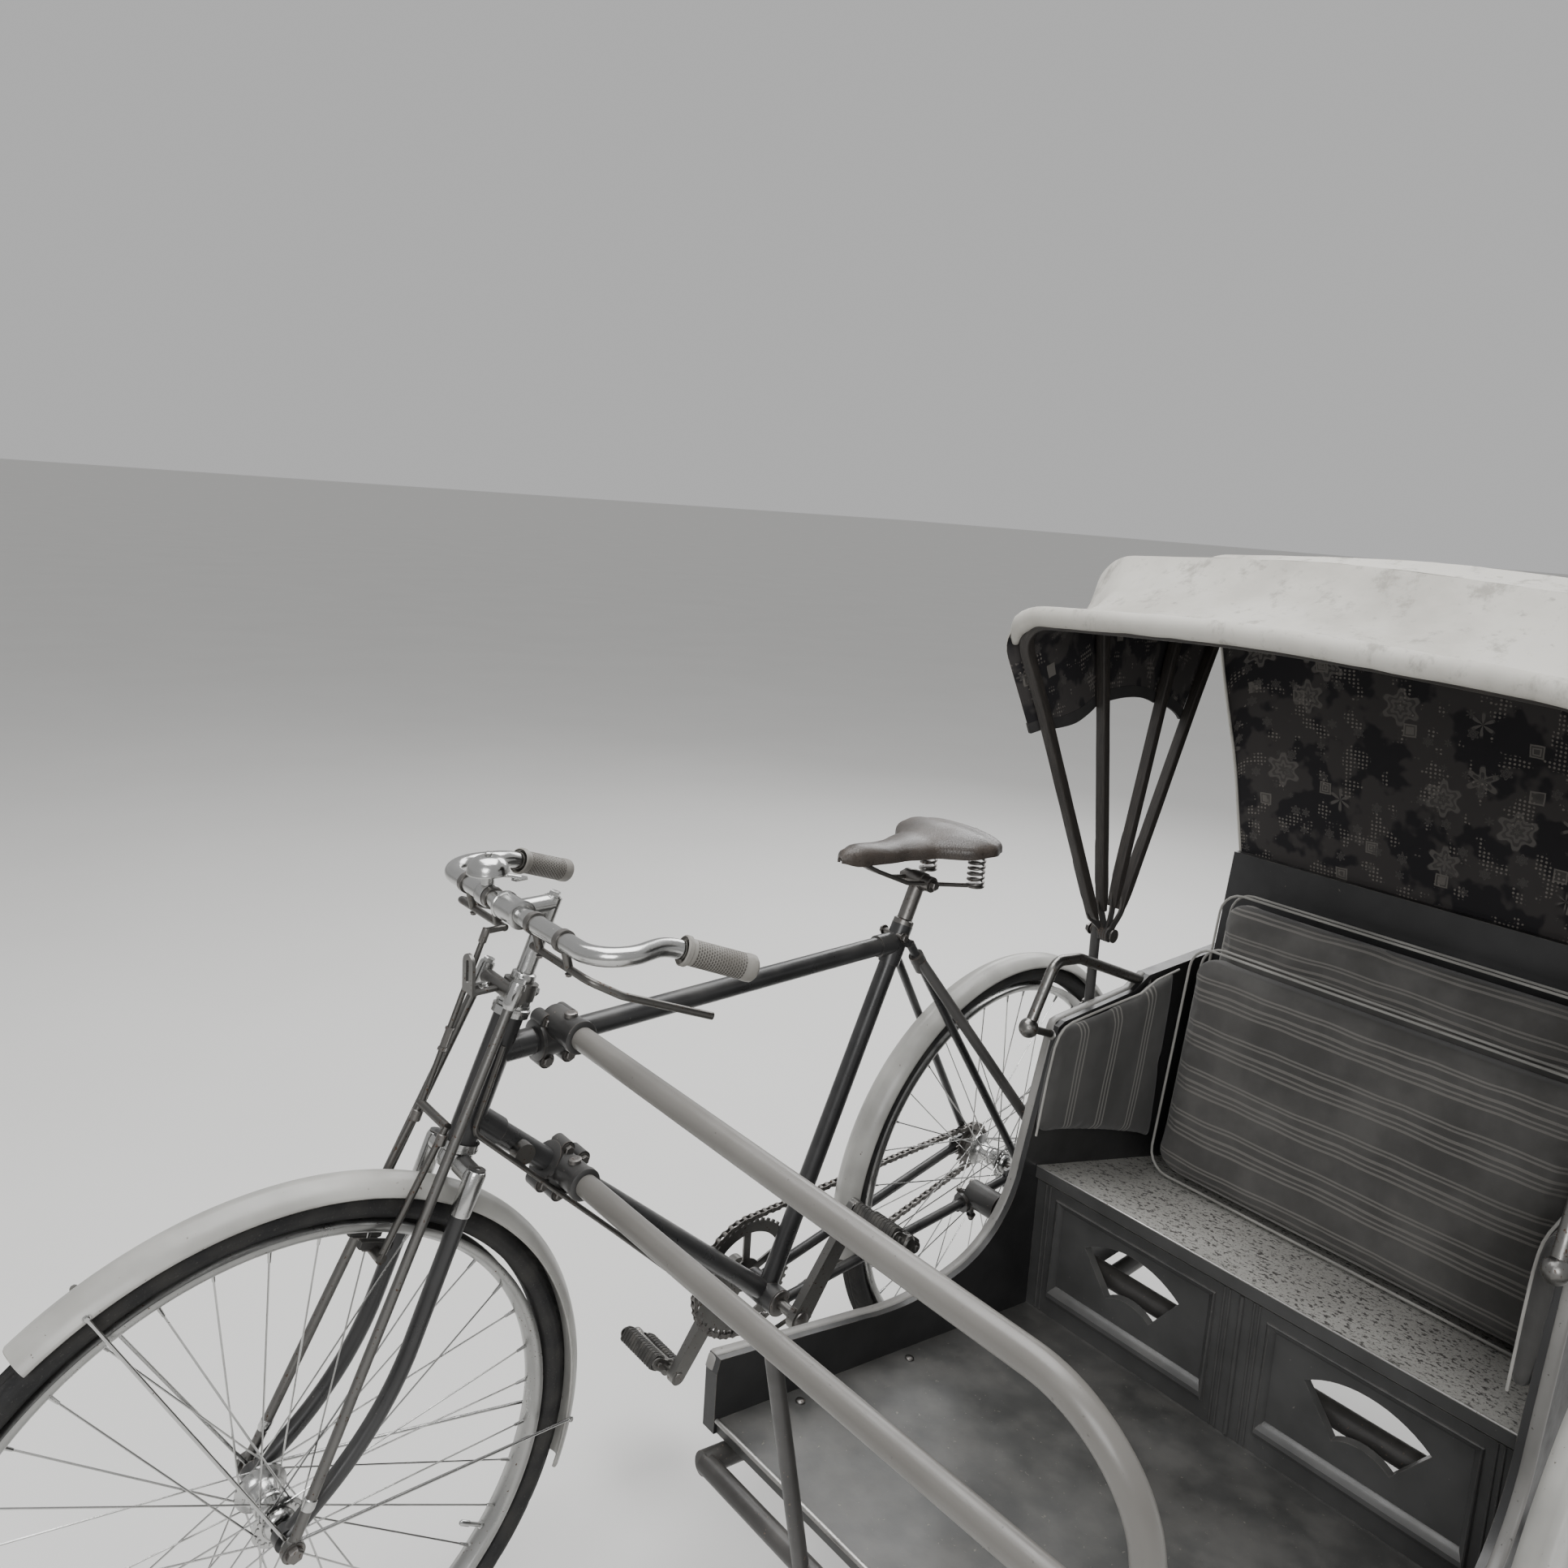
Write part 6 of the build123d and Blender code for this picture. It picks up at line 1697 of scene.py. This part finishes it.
def canvas_panel(front, rear, sag_roof, sag_side, arch_up, seed):
    """rows of points between two bows, sagging toward the seat"""
    front_line = canvas_line(front)
    rear_line = canvas_line(rear)
    downward = -bow_frame((bow_rows[front][2] + bow_rows[rear][2]) / 2)[0]
    rows = []
    for k in range(panel_steps + 1):
        share = k / panel_steps
        bulge = 4 * share * (1 - share)
        row = []
        for j, (a, b) in enumerate(zip(front_line, rear_line)):
            place = a.lerp(b, share)
            inward = Vector((0, hood_pin.y - place.y, 0))
            roof = 1 - min(abs(inward.y) / (half_span - 30), 1) ** 6
            place = place + downward * bulge * sag_roof * roof
            place += inward.normalized() * bulge * sag_side * (1 - roof) if inward.length else Vector()
            from_hem = min(j, len(front_line) - 1 - j)
            near_hem = max(0.0, 1 - from_hem / 6)
            place += -downward * bulge * arch_up * near_hem
            corner = max(0.0, 1 - abs(from_hem - corner_at) / 9)
            corner *= corner * (3 - 2 * corner) * bulge * corner_sag
            place += downward * corner * 1.5 + (inward.normalized() * corner if inward.length else Vector())
            pull = puckers(place, seed) * (0.25 + bulge * 0.75)
            place += (-downward * roof - inward.normalized() * (1 - roof) if inward.length
                      else -downward) * pull
            row.append(place)
        rows.append(row)
    if front == 0:
        _, square = bow_frame(bow_rows[0][2])
        lap = []
        for place in front_line:
            side = place.y - hood_pin.y
            beyond = max(0.0, abs(side) - 340) / 38
            lap.append(place + square * lap_forward + Vector((0, beyond * 11 * (1 if side > 0 else -1), 0)))
        rows.insert(0, lap)
    return rows


canopy_rows = (
    ("canopy_front", 0, 1, 22.0, 4.0, -10.0, 3.1),
    ("canopy_middle", 1, 2, 18.0, 5.0, 12.0, 7.7),
    ("canopy_rear", 2, 3, 9.0, 3.0, 6.0, 12.4),
)


def hem_tapes(shape, rows):
    """tape sewn round both hanging edges of a panel"""
    for j in (0, -1):
        inside = 1 if j == 0 else -2
        tape = []
        for row in rows:
            up = (row[inside] - row[j]).normalized()
            out = Vector((0, -1 if j == 0 else 1, 0))
            tape.append([row[j] + up * hem_depth + out * 2.1, row[j] - up * 1.5 + out * 2.4,
                         row[j] - up * 1.5 - out * 2.4, row[j] + up * hem_depth - out * 2.1])
        shape.loft(tape, 2)


roof_from = 12


def blended(cloth, front, rear):
    """attaches the cloth to its bows' body when both bows share one; otherwise the cloth keeps its place,
    attached to nothing
    """
    front_body = bow_rows[front][1]
    rear_body = bow_rows[rear][1]
    if front_body == rear_body:
        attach(cloth, rear_body)
        return
    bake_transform(cloth)


for name, front, rear, sag_roof, sag_side, arch_up, seed in canopy_rows:
    panel = Shape()
    rows = canvas_panel(front, rear, sag_roof, sag_side, arch_up, seed)
    panel.sheet(rows, canvas_depth, 0, 1, 0)
    width = len(rows[0]) - 1
    for k, slot in enumerate(panel.slots):
        if slot == 0 and k < width * (len(rows) - 1) and min(k % width, width - 1 - k % width) < roof_from:
            panel.slots[k] = 1
    hem_tapes(panel, rows)
    made = panel.piece(name + "_cloth", None, outer_canvas, printed_lining, hem_tape, slot="hood_canvas",
                       stands_for=name, sharp=60)
    blended(made, front, rear)

# Rolled front edge: the canvas is wound round a cord and sewn down along the
# first bow's top, and ends in the turned corners.
roll_radius = 13.5
roll = Shape()
roll_line = canvas_line(0)
_, front_square = bow_frame(bow_rows[0][2])
roll_path = []
roll_radii = []
for j, place in enumerate(roll_line):
    from_hem = min(j, len(roll_line) - 1 - j)
    if from_hem < roof_from:
        continue
    roll_path.append(place + front_square * (7 + noise.noise(place * 0.02) * 2))
    thick = min(0.35 + (from_hem - roof_from) * 0.16, 1.0)
    roll_radii.append(roll_radius * thick * (1 + 0.08 * noise.noise(place * 0.045 + Vector((5, 2, 1)))))
roll.tube(roll_path, roll_radii, 24)
roll.piece("canopy_roll", "hood_first", outer_canvas, sharp=80, slot="hood_canvas")

# Back cloth: the same canvas sewn round the last bow's arch, hanging to the
# back board's top, where it is tacked down under a batten.
back_top = canvas_line(3)[10:-10]
last_away, last_square = bow_frame(bow_rows[3][2])
back_rows = []
back_steps = 26
for k in range(back_steps + 1):
    share = k / back_steps
    row = []
    for place in back_top:
        across = place.y - hood_pin.y
        behind = place - last_square * (bow_half + 4.5) - last_away * 8
        foot = Vector((-340.5, hood_pin.y + across * 350 / 379, 925.0))
        if share == 0:
            point = place.copy()
        else:
            point = behind.lerp(foot, max(share - 0.04, 0) / 0.96)
            folds = 4 * share * (1 - share)
            broad = noise.noise(Vector((across * 0.011, share * 1.4, 4.2)))
            fine = noise.noise(Vector((across * 0.034, share * 2.6, 9.1)))
            point += Vector((1, 0, 0)) * (folds * (broad * 14 + fine * 5) - folds * 3)
        row.append(point)
    back_rows.append(row)
back_cloth = Shape()
back_cloth.sheet(back_rows, canvas_depth, 0, 1, 2)
for side in (0, -1):
    back_cloth.tube([row[side] for row in back_rows], 2.6, 10)
made = back_cloth.piece("canopy_back_cloth", None, outer_canvas, printed_lining, hem_tape,
                        slot="hood_canvas", stands_for="canopy_back", sharp=60)
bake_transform(made)
batten = Shape()
batten_place = (-343, 914)
batten_section = ((-5, -7), (-5, 7), (-3.5, 8.5), (-1, 8.5), (-1, -8.5), (-3.5, -8.5))
batten.loft([[Vector((batten_place[0] + u, y, batten_place[1] + v)) for u, v in batten_section]
             for y in (cabin_right + 3, cabin_left - 3)])
for k in range(12):
    batten.turned([(0, 4.6), (1.2, 4.0), (2.2, 2.2), (2.4, 0)],
                  (batten_place[0] - 5, 242 + k * 60.5, batten_place[1]), (-1, 0, 0), 14)
batten.piece("back_batten", "vehicle", iron_finish, slot="iron")
